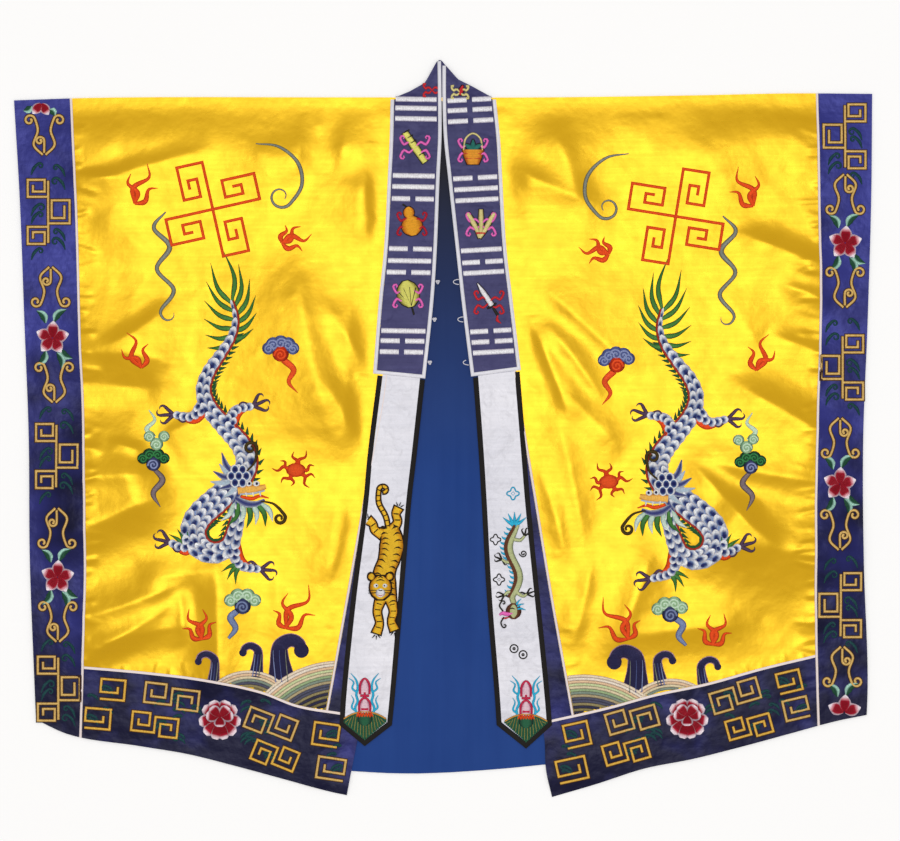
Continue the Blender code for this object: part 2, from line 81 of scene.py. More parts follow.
class Finish:
    """One material: a Principled shader with its fixed values, and the nodes that vary it over a surface."""

    def __init__(self, name, fixed):
        self.material = bpy.data.materials.new(name)
        self.material.use_nodes = True
        self.tree = self.material.node_tree
        self.shader = self.tree.nodes["Principled BSDF"]
        for socket, value in fixed.items():
            self.shader.inputs[socket].default_value = value

    def feed(self, socket, value):
        if isinstance(value, Signal):
            self.tree.links.new(value.socket, socket)
        else:
            socket.default_value = value

    def node(self, kind, settings, inputs, output=0):
        """Adds a node: its settings first, then the values or signals of its sockets."""
        node = self.tree.nodes.new(kind)
        for name, value in settings.items():
            if name != "stops":
                setattr(node, name, value)
                continue
            stops = node.color_ramp.elements
            while len(stops) < len(value):
                stops.new(1.0)
            for stop, (place, colour) in zip(stops, value):
                stop.position = place
                stop.color = colour
        for socket, value in inputs.items():
            self.feed(node.inputs[socket], value)
        return Signal(self, node.outputs[output])

    def place(self, scale=(1.0, 1.0, 1.0)):
        """Places on the robe, stretched along each direction."""
        found = self.node("ShaderNodeTexCoord", {}, {}, output=3)
        return self.node("ShaderNodeMapping", {}, {"Vector": found, "Scale": scale})

    def cloud(self, place, scale, detail=2.0, roughness=0.5):
        """Soft noise from 0 to 1."""
        return self.node("ShaderNodeTexNoise", {"noise_dimensions": "3D"},
                         {"Vector": place, "Scale": scale, "Detail": detail, "Roughness": roughness})

    def blend(self, share, first, second, how="MIX"):
        """Mixes two colours."""
        return self.node("ShaderNodeMix", {"data_type": "RGBA", "blend_type": how},
                         {0: share, 6: first, 7: second}, output=2)

    def use(self, colour, roughness, relief):
        """Joins the shader's colour, roughness and relief, the relief as a height in metres."""
        self.feed(self.shader.inputs["Base Color"], colour)
        self.feed(self.shader.inputs["Roughness"], roughness)
        bump = self.node("ShaderNodeBump", {}, {"Strength": 1.0, "Distance": 1.0, "Height": relief})
        self.feed(self.shader.inputs["Normal"], bump)


def dyed(code, strength=1.0):
    """A cloth or thread colour from its six-digit code, as a linear colour."""
    shades = [int(code[i:i + 2], 16) / 255 for i in (0, 2, 4)]
    return (*(shade * strength for shade in Color(shades).from_srgb_to_scene_linear()), 1.0)


FLOAT_PITCH = 0.0005
FLOAT_LENGTH = 0.009
FLOAT_DEPTH = 0.00002
SHADE_TOP = 0.45
SHADE_END = -0.62


def satin(name, light, deep, fixed, roughness, rumple, shadow=None):
    """Satin weave: long floats side by side give a soft sheen, with slubs, random tone and small rumples. A
    shadow colour, where given, is painted shade towards the hem.
    """
    finish = Finish(name, fixed)
    floats = finish.cloud(finish.place((1 / FLOAT_PITCH, 1 / FLOAT_LENGTH, 1 / FLOAT_LENGTH)), 1.0, 1.0)
    slubs = finish.cloud(finish.place((7.0, 160.0, 30.0)), 1.0, 3.0, 0.6)
    shade = finish.cloud(finish.place(), 3.2, 3.0, 0.6)
    soft = finish.cloud(finish.place(), 13.0, 3.0, 0.5)
    small = finish.cloud(finish.place(), 34.0, 3.0, 0.55)
    colour = finish.blend((shade - 0.35) * 1.1 + slubs * 0.4, light, deep)
    colour = finish.blend(floats * 0.14, colour, deep)
    if shadow:
        upright = finish.node("ShaderNodeSeparateXYZ", {}, {0: finish.place()}, output=1)
        slope = (SHADE_TOP - upright) * (1 / (SHADE_TOP - SHADE_END))
        # Painted shade: the colour darkens towards the hem, broken by random lighter patches that are painted
        # sheen.
        painted_hem_shade = slope + (shade - 0.5) * 1.4 + (soft - 0.5) * 1.2
        colour = finish.blend(painted_hem_shade, colour, shadow)
    finish.use(colour, roughness + (small - 0.5) * 0.16 + (slubs - 0.5) * 0.10,
               small * rumple + soft * (rumple * 3.5) + slubs * (rumple * 0.03) + floats * FLOAT_DEPTH)
    return finish


def wear(names, finish, slot):
    """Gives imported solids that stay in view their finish."""
    for name in names:
        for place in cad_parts[name].material_slots:
            place.material = finish.material


YELLOW = satin("yellow_satin", dyed("ebb10e"), dyed("dda006"), {
    "Metallic": 0.32, "IOR": 2.0, "Specular Tint": (0.66, 0.96, 0.18, 1.0)}, 0.30, 0.0004)
# The navy carries painted shade, darker towards the hem, with lighter patches of painted sheen.
NAVY = satin("navy_satin", dyed("3a3e94"), dyed("22246a"), {
    "Metallic": 0.2, "Specular IOR Level": 0.20}, 0.36, 0.0016, dyed("0a0a30"))
COLLAR_NAVY = satin("collar_satin", dyed("343264"), dyed("242248"), {
    "Metallic": 0.2, "Specular IOR Level": 0.22}, 0.36, 0.0014)
wear(("back_panel",), YELLOW, "yellow_satin")
wear(("back_hem_band", "back_side_band_left", "back_side_band_right"), NAVY, "navy_satin")
wear(("collar_back",), COLLAR_NAVY, "navy_satin")


# The lining. One smooth sheet of royal blue cotton laid on the back panel. It shows between the two fronts,
# with a few upright creases from its weight, and its colour is painted darker under the neck as shade.
class Side:
    """One half of the robe. Outwards is -1 on the left and +1 on the right. Sections below add its edges."""

    def __init__(self, name, outwards):
        self.name = name
        self.outwards = outwards

    def out(self, line, distance):
        """An edge of this side, moved away from the robe's middle by a distance."""
        return moved(line, self.outwards * distance)

    def beyond(self, x, line_x):
        """How far a point lies outwards of an edge."""
        return self.outwards * (x - line_x)

    def cover(self, y):
        """The outer edge of what lies on the front at this height: the collar, then the streamer."""
        return np.where(y > STREAMERS[0].y, self.collar_outer(y), self.streamer_outer(y))

    def cover_inner(self, y):
        return np.where(y > STREAMERS[0].y, self.collar_inner(y), self.streamer_inner(y))


LEFT = Side("left", -1)
RIGHT = Side("right", 1)
HALVES = (LEFT, RIGHT)


def moved(line, distance):
    """The same edge, moved across by a distance."""
    return lambda place: line(place) + distance


def smooth_step(t):
    """0 below 0, 1 above 1, and a soft S between."""
    t = np.clip(t, 0.0, 1.0)
    return t * t * (3.0 - 2.0 * t)


def smooth_line(table, along, across):
    """A smooth curve through a table's rows, from one named column to another, straight past its ends."""
    places, values = np.array(sorted((getattr(row, along), getattr(row, across)) for row in table)).T
    steps = np.diff(values) / np.diff(places)
    slopes = np.concatenate([steps[:1], (steps[1:] + steps[:-1]) / 2, steps[-1:]])

    def value_at(place):
        i = np.clip(np.searchsorted(places, place) - 1, 0, len(places) - 2)
        span = places[i + 1] - places[i]
        t = (place - places[i]) / span
        s = np.clip(t, 0.0, 1.0)
        on_curve = ((1 + 2 * s) * (1 - s) ** 2 * values[i] + s * (1 - s) ** 2 * span * slopes[i]
                    + s * s * (3 - 2 * s) * values[i + 1] - s * s * (1 - s) * span * slopes[i + 1])
        return on_curve + (t - s) * span * np.where(t < s, slopes[i], slopes[i + 1])

    return value_at


# Free inner edge of each front and outer line of its edge strip, at falling depths
Opening = namedtuple("Opening", "y left_strip left_edge right_edge right_strip")
OPENING = [
    Opening(0.662, -0.100, -0.050, 0.050, 0.101),
    Opening(0.357, -0.103, -0.060, 0.072, 0.112),
    Opening(0.103, -0.113, -0.070, 0.102, 0.145),
    Opening(-0.143, -0.157, -0.094, 0.130, 0.185),
    Opening(-0.343, -0.192, -0.126, 0.162, 0.218),
    Opening(-0.543, -0.228, -0.158, 0.190, 0.254),
    Opening(-0.623, -0.243, -0.171, 0.203, 0.268),
    Opening(-0.683, -0.254, -0.183, 0.206, 0.279),
    Opening(-0.737, -0.264, -0.193, 0.218, 0.289),
]
# The collar halves over their piping, from the shoulder line down
Band = namedtuple("Band", "y left_outer left_inner right_inner right_outer")
COLLAR = [
    Band(0.737, -0.100, -0.0040, -0.0010, 0.101),
    Band(0.658, -0.1045, -0.0030, -0.0010, 0.106),
    Band(0.579, -0.1065, -0.0030, 0.0020, 0.114),
    Band(0.507, -0.110, -0.0066, 0.0096, 0.118),
    Band(0.357, -0.118, -0.0125, 0.0260, 0.127),
    Band(0.257, -0.128, -0.0190, 0.0370, 0.139),
    Band(0.105, -0.140, -0.0350, 0.0560, 0.157),
]
# The streamers over their binding, from the collar down to the corners of the point
STREAMERS = [
    Band(0.105, -0.1310, -0.0352, 0.0600, 0.1540),
    Band(-0.057, -0.1512, -0.0530, 0.0718, 0.1672),
    Band(-0.143, -0.1590, -0.0630, 0.0770, 0.1740),
    Band(-0.343, -0.1840, -0.0800, 0.0880, 0.1940),
    Band(-0.543, -0.2040, -0.0970, 0.1040, 0.2140),
    Band(-0.593, -0.2070, -0.1020, 0.1072, 0.2180),
]
Point = namedtuple("Point", "x y")
BACK_HEM = [Point(*p) for p in (
    (-0.808, -0.574), (-0.720, -0.606), (-0.500, -0.642), (-0.300, -0.672), (-0.182, -0.685),
    (-0.060, -0.690), (0.112, -0.681), (0.203, -0.672), (0.500, -0.648), (0.720, -0.594), (0.838, -0.564))]
GAP = 0.0003
BACK_WALL = 0.0012
LINING_WALL = 0.0010
LINING_BASE = BACK_WALL + GAP
LINING_UNDER_FRONT = 0.035
LINING_TOP = 0.655
back_hem = smooth_line(BACK_HEM, "x", "y")
for side in HALVES:
    side.strip = smooth_line(OPENING, "y", f"{side.name}_strip")
    side.opening = smooth_line(OPENING, "y", f"{side.name}_edge")
    side.collar_outer = smooth_line(COLLAR, "y", f"{side.name}_outer")
    side.collar_inner = smooth_line(COLLAR, "y", f"{side.name}_inner")
    side.streamer_outer = smooth_line(STREAMERS, "y", f"{side.name}_outer")
    side.streamer_inner = smooth_line(STREAMERS, "y", f"{side.name}_inner")

# A fold runs between two points, its middle bowed to the left by bow, with a reach of its own on either hand.
# A negative height makes it a crease that sinks.
Fold = namedtuple("Fold", "start_x start_y end_x end_y bow left right height")
FOLD_TAPER = 0.35
CREST = 0.07


def fold_height(folds, x, y):
    """Sum of the folds at some points. Each is sharpest on its line and fades to both hands and ends."""
    total = np.zeros_like(x)
    for fold in folds:
        run_x, run_y = fold.end_x - fold.start_x, fold.end_y - fold.start_y
        length = hypot(run_x, run_y)
        reach = max(fold.left, fold.right) + abs(fold.bow)
        near_x = np.abs(x - (fold.start_x + fold.end_x) / 2) < abs(run_x) / 2 + reach
        near_y = np.abs(y - (fold.start_y + fold.end_y) / 2) < abs(run_y) / 2 + reach
        near = np.flatnonzero(near_x & near_y)
        if not len(near):
            continue
        from_x, from_y = x[near] - fold.start_x, y[near] - fold.start_y
        along = (from_x * run_x + from_y * run_y) / length ** 2
        aside = (from_y * run_x - from_x * run_y) / length - 4 * fold.bow * along * (1 - along)
        share = np.abs(aside) / np.where(aside > 0, fold.left, fold.right)
        rounded = np.sqrt(share ** 2 + CREST ** 2) - CREST
        fade = smooth_step(along / FOLD_TAPER) * smooth_step((1.0 - along) / FOLD_TAPER)
        total[near] += fold.height * fade * np.clip(1.0 - rounded, 0.0, 1.0) ** 2
    return total


LINING_FOLDS = [Fold(*f) for f in (
    (0.012, 0.160, 0.028, -0.640, 0.006, 0.020, 0.050, 0.0045),
    (-0.030, -0.020, -0.040, -0.660, -0.004, 0.045, 0.022, 0.0035),
    (-0.074, -0.480, -0.110, -0.680, 0.003, 0.024, 0.030, 0.0030),
    (0.075, -0.420, 0.092, -0.670, 0.003, 0.024, 0.030, 0.0030),
    (-0.004, 0.330, 0.004, 0.060, 0.002, 0.012, 0.018, 0.0020),
)]
COLLAR_FADE = 0.030


def lining_height(x, y):
    """Underside of the lining: flat under the fronts and streamers, with soft upright folds between them."""
    clear = 1.0
    for side in HALVES:
        clear = clear * smooth_step(-side.beyond(x, side.cover_inner(y)) / COLLAR_FADE)
    return LINING_BASE + clear * fold_height(LINING_FOLDS, x, y)


def add_piece(form, name, finish, replaced=()):
    """Makes a closed bmesh a piece of the robe, smooth but for its edges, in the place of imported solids."""
    bmesh.ops.recalc_face_normals(form, faces=form.faces[:])
    mesh = bpy.data.meshes.new(name)
    form.to_mesh(mesh)
    form.free()
    mesh.shade_smooth()
    mesh.set_sharp_from_angle(angle=radians(50))
    mesh.materials.append(finish.material)
    piece = bpy.data.objects.new(name, mesh)
    bpy.context.scene.collection.objects.link(piece)
    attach(piece, "root")
    if replaced:
        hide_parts(*replaced)
    return piece


def give_wall(form, wall, crown=0.0):
    """Turns an open sheet into a wall, its upper face straight above its underside and domed by crown."""
    across = form.verts.layers.float["across"]
    lifted = bmesh.ops.extrude_face_region(form, geom=form.faces[:])
    for item in lifted["geom"]:
        if isinstance(item, bmesh.types.BMVert):
            item.co.z += wall + crown * max(0.0, 1.0 - item[across] ** 2) ** 0.5


def cloth_panel(name, edges, cell, height, wall, finish, crown=0.0, least=1, shares=None):
    """A cloth piece between four edges: outer and inner give x for y, top and bottom give y for x."""
    outer, inner, top, bottom = edges
    middle_x = (outer(0.0) + inner(0.0)) / 2
    middle_y = (top(middle_x) + bottom(middle_x)) / 2
    columns = max(least, ceil(abs(outer(middle_y) - inner(middle_y)) / cell))
    rows = max(least, ceil(abs(top(middle_x) - bottom(middle_x)) / cell))
    form = bmesh.new()
    across = form.verts.layers.float.new("across")
    bmesh.ops.create_grid(form, x_segments=columns, y_segments=rows, size=1.0)
    plan = np.array([vert.co[:2] for vert in form.verts])
    share, depth = (plan[:, 0] + 1) / 2, (1 - plan[:, 1]) / 2
    if shares:
        share = np.interp(share, np.linspace(0.0, 1.0, len(shares)), shares)
    x, y = np.full_like(share, middle_x), np.full_like(share, middle_y)
    for _ in range(12):
        y = top(x) + (bottom(x) - top(x)) * depth
        x = outer(y) + (inner(y) - outer(y)) * share
    z = height(x, y)
    for vert, at, place in zip(form.verts, plan, np.stack([x, y, z], axis=1)):
        vert.co = place
        vert[across] = at[0]
    give_wall(form, wall, crown)
    return add_piece(form, f"{name}_cloth", finish, (name,))


NECK_SHADOW_TOP = 0.52
NECK_SHADOW_END = -0.10


def plain_weave(name, colour, deep, shadow):
    """Smooth plain-woven cotton: a fine grid of threads, faint streaks and soft creases from folding, with
    painted shade that darkens it towards the neck.
    """
    finish = Finish(name, {"Metallic": 0.0, "Specular IOR Level": 0.12, "Sheen Weight": 0.02,
                           "Sheen Roughness": 0.6})
    warp = finish.node("ShaderNodeTexWave", {"bands_direction": "X"},
                       {"Vector": finish.place(), "Scale": 320.0})
    weft = finish.node("ShaderNodeTexWave", {"bands_direction": "Y"},
                       {"Vector": finish.place(), "Scale": 320.0})
    streaks = finish.cloud(finish.place((26.0, 1.2, 1.0)), 1.0, 3.0, 0.6)
    shade = finish.cloud(finish.place(), 5.0, 3.0, 0.6)
    small = finish.cloud(finish.place((40.0, 14.0, 20.0)), 1.0, 2.0)
    threads = warp * weft
    upright = finish.node("ShaderNodeSeparateXYZ", {}, {0: finish.place()}, output=1)
    # Painted shade: the colour turns to the shadow colour towards the neck.
    painted_neck_shade = (upright - NECK_SHADOW_END) * (1 / (NECK_SHADOW_TOP - NECK_SHADOW_END))
    dyes = finish.blend(streaks * 0.7 + shade * 0.5 - 0.1 - threads * 0.1, colour, deep)
    finish.use(finish.blend(painted_neck_shade, dyes, shadow),
               0.62 + (shade - 0.5) * 0.2, threads * 0.00003 + small * 0.0007)
    return finish


# The last colour is the painted shade under the neck.
BLUE = plain_weave("blue_lining", dyed("264c96"), dyed("183a80"), dyed("24242c"))
lining_edges = (LEFT.out(LEFT.opening, LINING_UNDER_FRONT), RIGHT.out(RIGHT.opening, LINING_UNDER_FRONT),
                lambda x: LINING_TOP + 0 * x, moved(back_hem, GAP))
lining = cloth_panel("back_lining", lining_edges, 0.006, lining_height, LINING_WALL, BLUE)


# The two fronts. Bright yellow satin, cut straight down the sides and seamed to the bands with piping. The
# laid satin is rumpled: long folds run in from the seams, and each seam draws a row of small gathers.
Sides = namedtuple("Sides", "y left_edge left_seam right_seam right_edge")
SIDES = [
    Sides(0.661, -0.858, -0.744, 0.748, 0.858),
    Sides(0.457, -0.846, -0.734, 0.752, 0.856),
    Sides(0.217, -0.837, -0.727, 0.755, 0.849),
    Sides(-0.023, -0.828, -0.718, 0.747, 0.840),
    Sides(-0.263, -0.826, -0.715, 0.744, 0.841),
    Sides(-0.503, -0.817, -0.721, 0.748, 0.849),
    Sides(-0.623, -0.812, -0.725, 0.752, 0.845),
]
SHOULDER = [Point(*p) for p in (
    (-0.858, 0.656), (-0.700, 0.661), (-0.200, 0.662), (0.200, 0.662), (0.500, 0.666), (0.700, 0.670),
    (0.858, 0.669))]
LEFT.hem_points = [Point(*p) for p in (
    (-0.812, -0.583), (-0.750, -0.611), (-0.606, -0.635), (-0.510, -0.651), (-0.414, -0.675),
    (-0.318, -0.701), (-0.222, -0.727), (-0.193, -0.733))]
RIGHT.hem_points = [Point(*p) for p in (
    (0.218, -0.737), (0.306, -0.711), (0.402, -0.680), (0.498, -0.661), (0.594, -0.637), (0.690, -0.611),
    (0.786, -0.585), (0.845, -0.573))]
LEFT.hem_seam_points = [Point(*p) for p in (
    (-0.716, -0.478), (-0.592, -0.489), (-0.454, -0.507), (-0.362, -0.528), (-0.294, -0.554),
    (-0.204, -0.570))]
RIGHT.hem_seam_points = [Point(*p) for p in (
    (0.220, -0.584), (0.333, -0.558), (0.424, -0.533), (0.528, -0.511), (0.636, -0.481), (0.744, -0.455))]
shoulder = smooth_line(SHOULDER, "x", "y")
for side in HALVES:
    side.edge = smooth_line(SIDES, "y", f"{side.name}_edge")
    side.seam = smooth_line(SIDES, "y", f"{side.name}_seam")
    side.hem = smooth_line(side.hem_points, "x", "y")
    side.hem_seam = smooth_line(side.hem_seam_points, "x", "y")

LEFT.folds = [Fold(*f) for f in (
    (-0.860, 0.580, -0.300, 0.648, 0.020, 0.055, 0.240, 0.009),
    (-0.800, 0.472, -0.440, 0.570, -0.004, 0.036, 0.180, 0.006),
    (-0.770, 0.506, -0.620, 0.498, 0.004, 0.020, 0.060, 0.003),
    (-0.280, 0.690, -0.308, 0.470, 0.006, 0.060, 0.160, 0.007),
    (-0.186, 0.690, -0.206, 0.500, 0.002, 0.120, 0.050, 0.006),
    (-0.240, 0.680, -0.250, 0.580, 0.002, 0.020, 0.030, 0.003),
    (-0.160, 0.540, -0.152, 0.350, 0.004, 0.036, 0.120, 0.006),
    (-0.300, 0.380, -0.200, -0.080, -0.016, 0.110, 0.240, 0.013),
    (-0.244, 0.260, -0.110, 0.050, 0.004, 0.120, 0.050, 0.006),
    (-0.250, 0.120, -0.150, -0.070, 0.004, 0.060, 0.070, 0.005),
    (-0.710, 0.150, -0.520, 0.270, -0.012, 0.034, 0.150, 0.005),
    (-0.800, 0.150, -0.490, 0.120, 0.018, 0.180, 0.090, 0.010),
    (-0.790, 0.100, -0.540, 0.090, -0.022, 0.050, 0.120, -0.006),
    (-0.670, -0.026, -0.590, -0.050, 0.003, 0.020, 0.022, 0.003),
    (-0.770, -0.036, -0.670, -0.050, 0.003, 0.040, 0.022, 0.003),
    (-0.580, -0.026, -0.440, 0.040, 0.002, 0.026, 0.110, 0.004),
    (-0.800, -0.110, -0.540, -0.090, 0.006, 0.150, 0.060, 0.008),
    (-0.820, -0.260, -0.500, -0.110, 0.012, 0.250, 0.110, 0.021),
    (-0.800, -0.400, -0.480, -0.290, -0.008, 0.120, 0.044, 0.008),
    (-0.800, -0.500, -0.500, -0.320, -0.008, 0.120, 0.046, 0.008),
    (-0.760, -0.440, -0.480, -0.380, -0.004, 0.120, 0.056, 0.007),
    (-0.454, -0.200, -0.448, -0.600, 0.002, 0.140, 0.090, 0.013),
    (-0.620, -0.310, -0.430, -0.280, 0.004, 0.140, 0.050, 0.005),
    (-0.530, -0.310, -0.520, -0.440, 0.004, 0.030, 0.050, 0.004),
    (-0.340, -0.240, -0.330, -0.460, 0.006, 0.060, 0.060, 0.003),
    (-0.190, -0.130, -0.240, -0.330, 0.008, 0.040, 0.100, 0.004),
    (-0.380, 0.600, -0.340, 0.380, 0.010, 0.100, 0.100, 0.003),
    (-0.700, 0.440, -0.580, 0.330, 0.008, 0.070, 0.080, 0.003),
)]
RIGHT.folds = [Fold(*f) for f in (
    (0.140, 0.640, 0.560, 0.648, 0.004, 0.030, 0.160, 0.005),
    (0.400, 0.652, 0.880, 0.584, 0.006, 0.060, 0.220, 0.010),
    (0.190, 0.660, 0.280, 0.440, 0.006, 0.090, 0.100, 0.008),
    (0.080, 0.550, 0.360, 0.430, -0.008, 0.050, 0.150, 0.007),
    (0.330, 0.620, 0.470, 0.620, 0.003, 0.018, 0.060, 0.003),
    (0.560, 0.400, 0.830, 0.290, 0.006, 0.050, 0.140, 0.010),
    (0.660, 0.290, 0.790, 0.246, 0.004, 0.026, 0.060, 0.005),
    (0.180, 0.300, 0.400, 0.096, 0.004, 0.140, 0.038, 0.006),
    (0.160, 0.240, 0.260, 0.000, 0.006, 0.090, 0.032, 0.006),
    (0.196, 0.220, 0.330, 0.040, 0.006, 0.080, 0.030, 0.005),
    (0.150, 0.090, 0.200, 0.066, 0.000, 0.016, 0.014, -0.003),
    (0.540, 0.110, 0.840, -0.060, 0.004, 0.080, 0.160, 0.013),
    (0.640, 0.190, 0.800, 0.130, 0.004, 0.040, 0.100, 0.006),
    (0.460, -0.040, 0.840, -0.110, -0.014, 0.150, 0.055, 0.009),
    (0.470, -0.050, 0.640, -0.230, 0.006, 0.045, 0.120, 0.008),
    (0.560, -0.120, 0.680, -0.250, -0.006, 0.050, 0.090, 0.007),
    (0.400, -0.220, 0.920, -0.262, 0.004, 0.220, 0.160, 0.021),
    (0.430, -0.200, 0.320, -0.480, 0.008, 0.080, 0.140, 0.010),
    (0.340, -0.420, 0.650, -0.390, 0.006, 0.130, 0.080, 0.009),
    (0.214, 0.070, 0.286, -0.290, 0.010, 0.050, 0.060, 0.004),
    (0.160, -0.020, 0.250, -0.280, 0.010, 0.040, 0.060, 0.004),
    (0.220, 0.090, 0.370, -0.060, 0.004, 0.060, 0.100, 0.005),
    (0.300, -0.240, 0.250, -0.460, 0.006, 0.036, 0.060, 0.004),
    (0.480, 0.600, 0.600, 0.420, 0.010, 0.100, 0.080, 0.003),
    (0.540, 0.300, 0.640, 0.130, 0.010, 0.090, 0.080, 0.004),
    (0.700, -0.420, 0.830, -0.330, 0.006, 0.060, 0.080, 0.005),
)]


def seam_gathers(seed, line, low, high, inwards, reach, height, upright=True):
    """The small gathers that a seam draws across itself, uneven in place, length and depth."""
    draw = np.random.RandomState(seed)
    gathers = []
    place = low
    while place < high:
        at = line(place)
        into = inwards * reach * draw.uniform(0.25, 1.0)
        back = -inwards * reach * draw.uniform(0.15, 0.45)
        lean = draw.uniform(-0.35, 0.35)
        depth = height * draw.uniform(0.25, 1.0)
        narrow, wide = draw.uniform(0.004, 0.008), draw.uniform(0.008, 0.020)
        ends = (at + back, place + back * lean, at + into, place + into * lean)
        if not upright:
            ends = (ends[1], ends[0], ends[3], ends[2])
        gathers.append(Fold(*ends, 0.0, narrow, wide, depth))
        place += draw.uniform(0.010, 0.040)
    return gathers


LEFT.folds += seam_gathers(11, LEFT.seam, -0.57, 0.64, 1, 0.060, 0.0022)
LEFT.folds += seam_gathers(12, LEFT.collar_outer, 0.12, 0.65, -1, 0.060, 0.0022)
LEFT.folds += seam_gathers(13, LEFT.strip, -0.56, 0.10, -1, 0.040, 0.0016)
LEFT.folds += seam_gathers(14, LEFT.hem_seam, -0.71, -0.22, 1, 0.035, 0.0016, upright=False)
RIGHT.folds += seam_gathers(21, RIGHT.seam, -0.55, 0.65, -1, 0.060, 0.0022)
RIGHT.folds += seam_gathers(22, RIGHT.collar_outer, 0.12, 0.65, 1, 0.060, 0.0022)
RIGHT.folds += seam_gathers(23, RIGHT.strip, -0.56, 0.10, 1, 0.040, 0.0016)
RIGHT.folds += seam_gathers(24, RIGHT.hem_seam, 0.23, 0.74, 1, 0.035, 0.0016, upright=False)

FRONT_WALL = 0.0012
FRONT_BASE = LINING_BASE + LINING_WALL + GAP
SHOULDER_FALL = 0.030
SHOULDER_FALL_END = 0.012
HEM_DROOP_START = 0.028
HEM_DROOP_END = 0.060
LINING_STEP_START = 0.080
LINING_STEP_END = 0.020
COLLAR_CLEAR = 0.003
EDGE_FADE = 0.060
EDGE_SHARE = 0.35
LOFT = 0.0020
RUMPLES = ((8.0, 0.0008), (21.0, 0.0003))
KNEE = 0.0012
SHOULDER_FADE = 0.110
COVER_FADE = 0.060


def rumpled(x, y):
    """Broad uneven rumples of laid satin, with soft ridges where they meet."""
    total = np.zeros_like(x)
    for scale, height in RUMPLES:
        ridges = [1.0 - 2.2 * abs(noise.noise(Vector((scale * a, scale * b, scale)))) for a, b in zip(x, y)]
        total += height * np.array(ridges)
    return total


def front_height(side, x, y):
    """Underside of a front: over the lining near the middle, on the back further out, past its hem."""
    lining_edge = side.opening(y) + side.outwards * LINING_UNDER_FRONT
    outside = side.beyond(x, lining_edge)
    over_lining = smooth_step((LINING_STEP_START - outside) / (LINING_STEP_START - LINING_STEP_END))
    below_shoulder = shoulder(x) - y
    off_shoulder = smooth_step((below_shoulder - SHOULDER_FALL_END) / SHOULDER_FALL)
    base = LINING_BASE + (FRONT_BASE - LINING_BASE) * over_lining * off_shoulder
    past_back = back_hem(x) - y
    base = base * (1.0 - smooth_step((past_back - HEM_DROOP_START) / (HEM_DROOP_END - HEM_DROOP_START)))
    clear = smooth_step((below_shoulder - SHOULDER_FALL_END) / SHOULDER_FADE)
    clear = clear * smooth_step((side.beyond(x, side.cover(y)) - COLLAR_CLEAR) / (COVER_FADE - COLLAR_CLEAR))
    for inside in (side.beyond(side.edge(y), x), y - side.hem(x)):
        clear = clear * (EDGE_SHARE + (1.0 - EDGE_SHARE) * smooth_step(inside / EDGE_FADE))
    lift = LOFT + fold_height(side.folds, x, y) + rumpled(x, y)
    return base + clear * (lift + np.sqrt(lift ** 2 + KNEE ** 2)) / 2


FRONT_CELL = 0.005
SEAM_PIPING = 0.005
HALF_PIPING = SEAM_PIPING / 2
for side in HALVES:
    def laid(x, y, side=side):
        return front_height(side, x, y)

    side.laid = laid
    side.seam_inside = side.out(side.seam, -HALF_PIPING - GAP)
    side.front = cloth_panel(f"front_{side.name}",
                             (side.seam_inside, side.out(side.strip, HALF_PIPING + GAP), shoulder,
                              moved(side.hem_seam, HALF_PIPING + GAP)),
                             FRONT_CELL, side.laid, FRONT_WALL, YELLOW)


# The bands of each front. Navy satin strips: a wide one down the free side, a wide one along the hem, and a
# narrow plain one down the front opening. They are sewn edge to edge with the yellow panel.
BAND_CELL = 0.006
STRIP_TOP = 0.600
for side in HALVES:
    name = side.name
    side_band = cloth_panel(f"side_band_{name}",
                            (side.edge, side.out(side.seam, HALF_PIPING + GAP), shoulder, side.hem),
                            BAND_CELL, side.laid, FRONT_WALL, NAVY)
    hem_band = cloth_panel(f"hem_band_{name}",
                           (side.seam_inside, side.opening, moved(side.hem_seam, -HALF_PIPING - GAP),
                            side.hem),
                           BAND_CELL, side.laid, FRONT_WALL, NAVY)
    side.strip_edges = (lambda x: STRIP_TOP + 0 * x, moved(side.hem_seam, HALF_PIPING + GAP))
    edge_strip = cloth_panel(f"front_edge_strip_{name}",
                             (side.out(side.strip, -HALF_PIPING - GAP), side.opening, *side.strip_edges),
                             BAND_CELL, side.laid, FRONT_WALL, NAVY)


# The seam piping. A pinkish white satin cord is caught in each seam of the fronts, so that a round bead of
# it shows between yellow and navy, slightly twisted by the stitching.
# Its deeper colour, mottled at random, is painted shade standing in for the small wrinkles of the white
# satin.
WHITE = satin("white_satin", dyed("f2f0f6"), dyed("c6c8d6"), {
    "Metallic": 0.1, "Specular IOR Level": 0.3}, 0.42, 0.0024)
PINK_WHITE = satin("piping_satin", dyed("fdf4f2"), dyed("f4dcd8"), {"Specular IOR Level": 0.3}, 0.50, 0.0003)
PIPING_CROWN = 0.0018
for side in HALVES:
    name = side.name
    seams = (
        (f"piping_side_{name}", (side.out(side.seam, HALF_PIPING), side.out(side.seam, -HALF_PIPING),
                                 shoulder, side.hem)),
        (f"piping_hem_{name}", (side.seam_inside, side.opening, moved(side.hem_seam, HALF_PIPING),
                                moved(side.hem_seam, -HALF_PIPING))),
        (f"piping_edge_{name}", (side.out(side.strip, HALF_PIPING), side.out(side.strip, -HALF_PIPING),
                                 *side.strip_edges)),
    )
    for node, edges in seams:
        cloth_panel(node, edges, 0.005, side.laid, FRONT_WALL, PINK_WHITE, crown=PIPING_CROWN,
                    least=4)


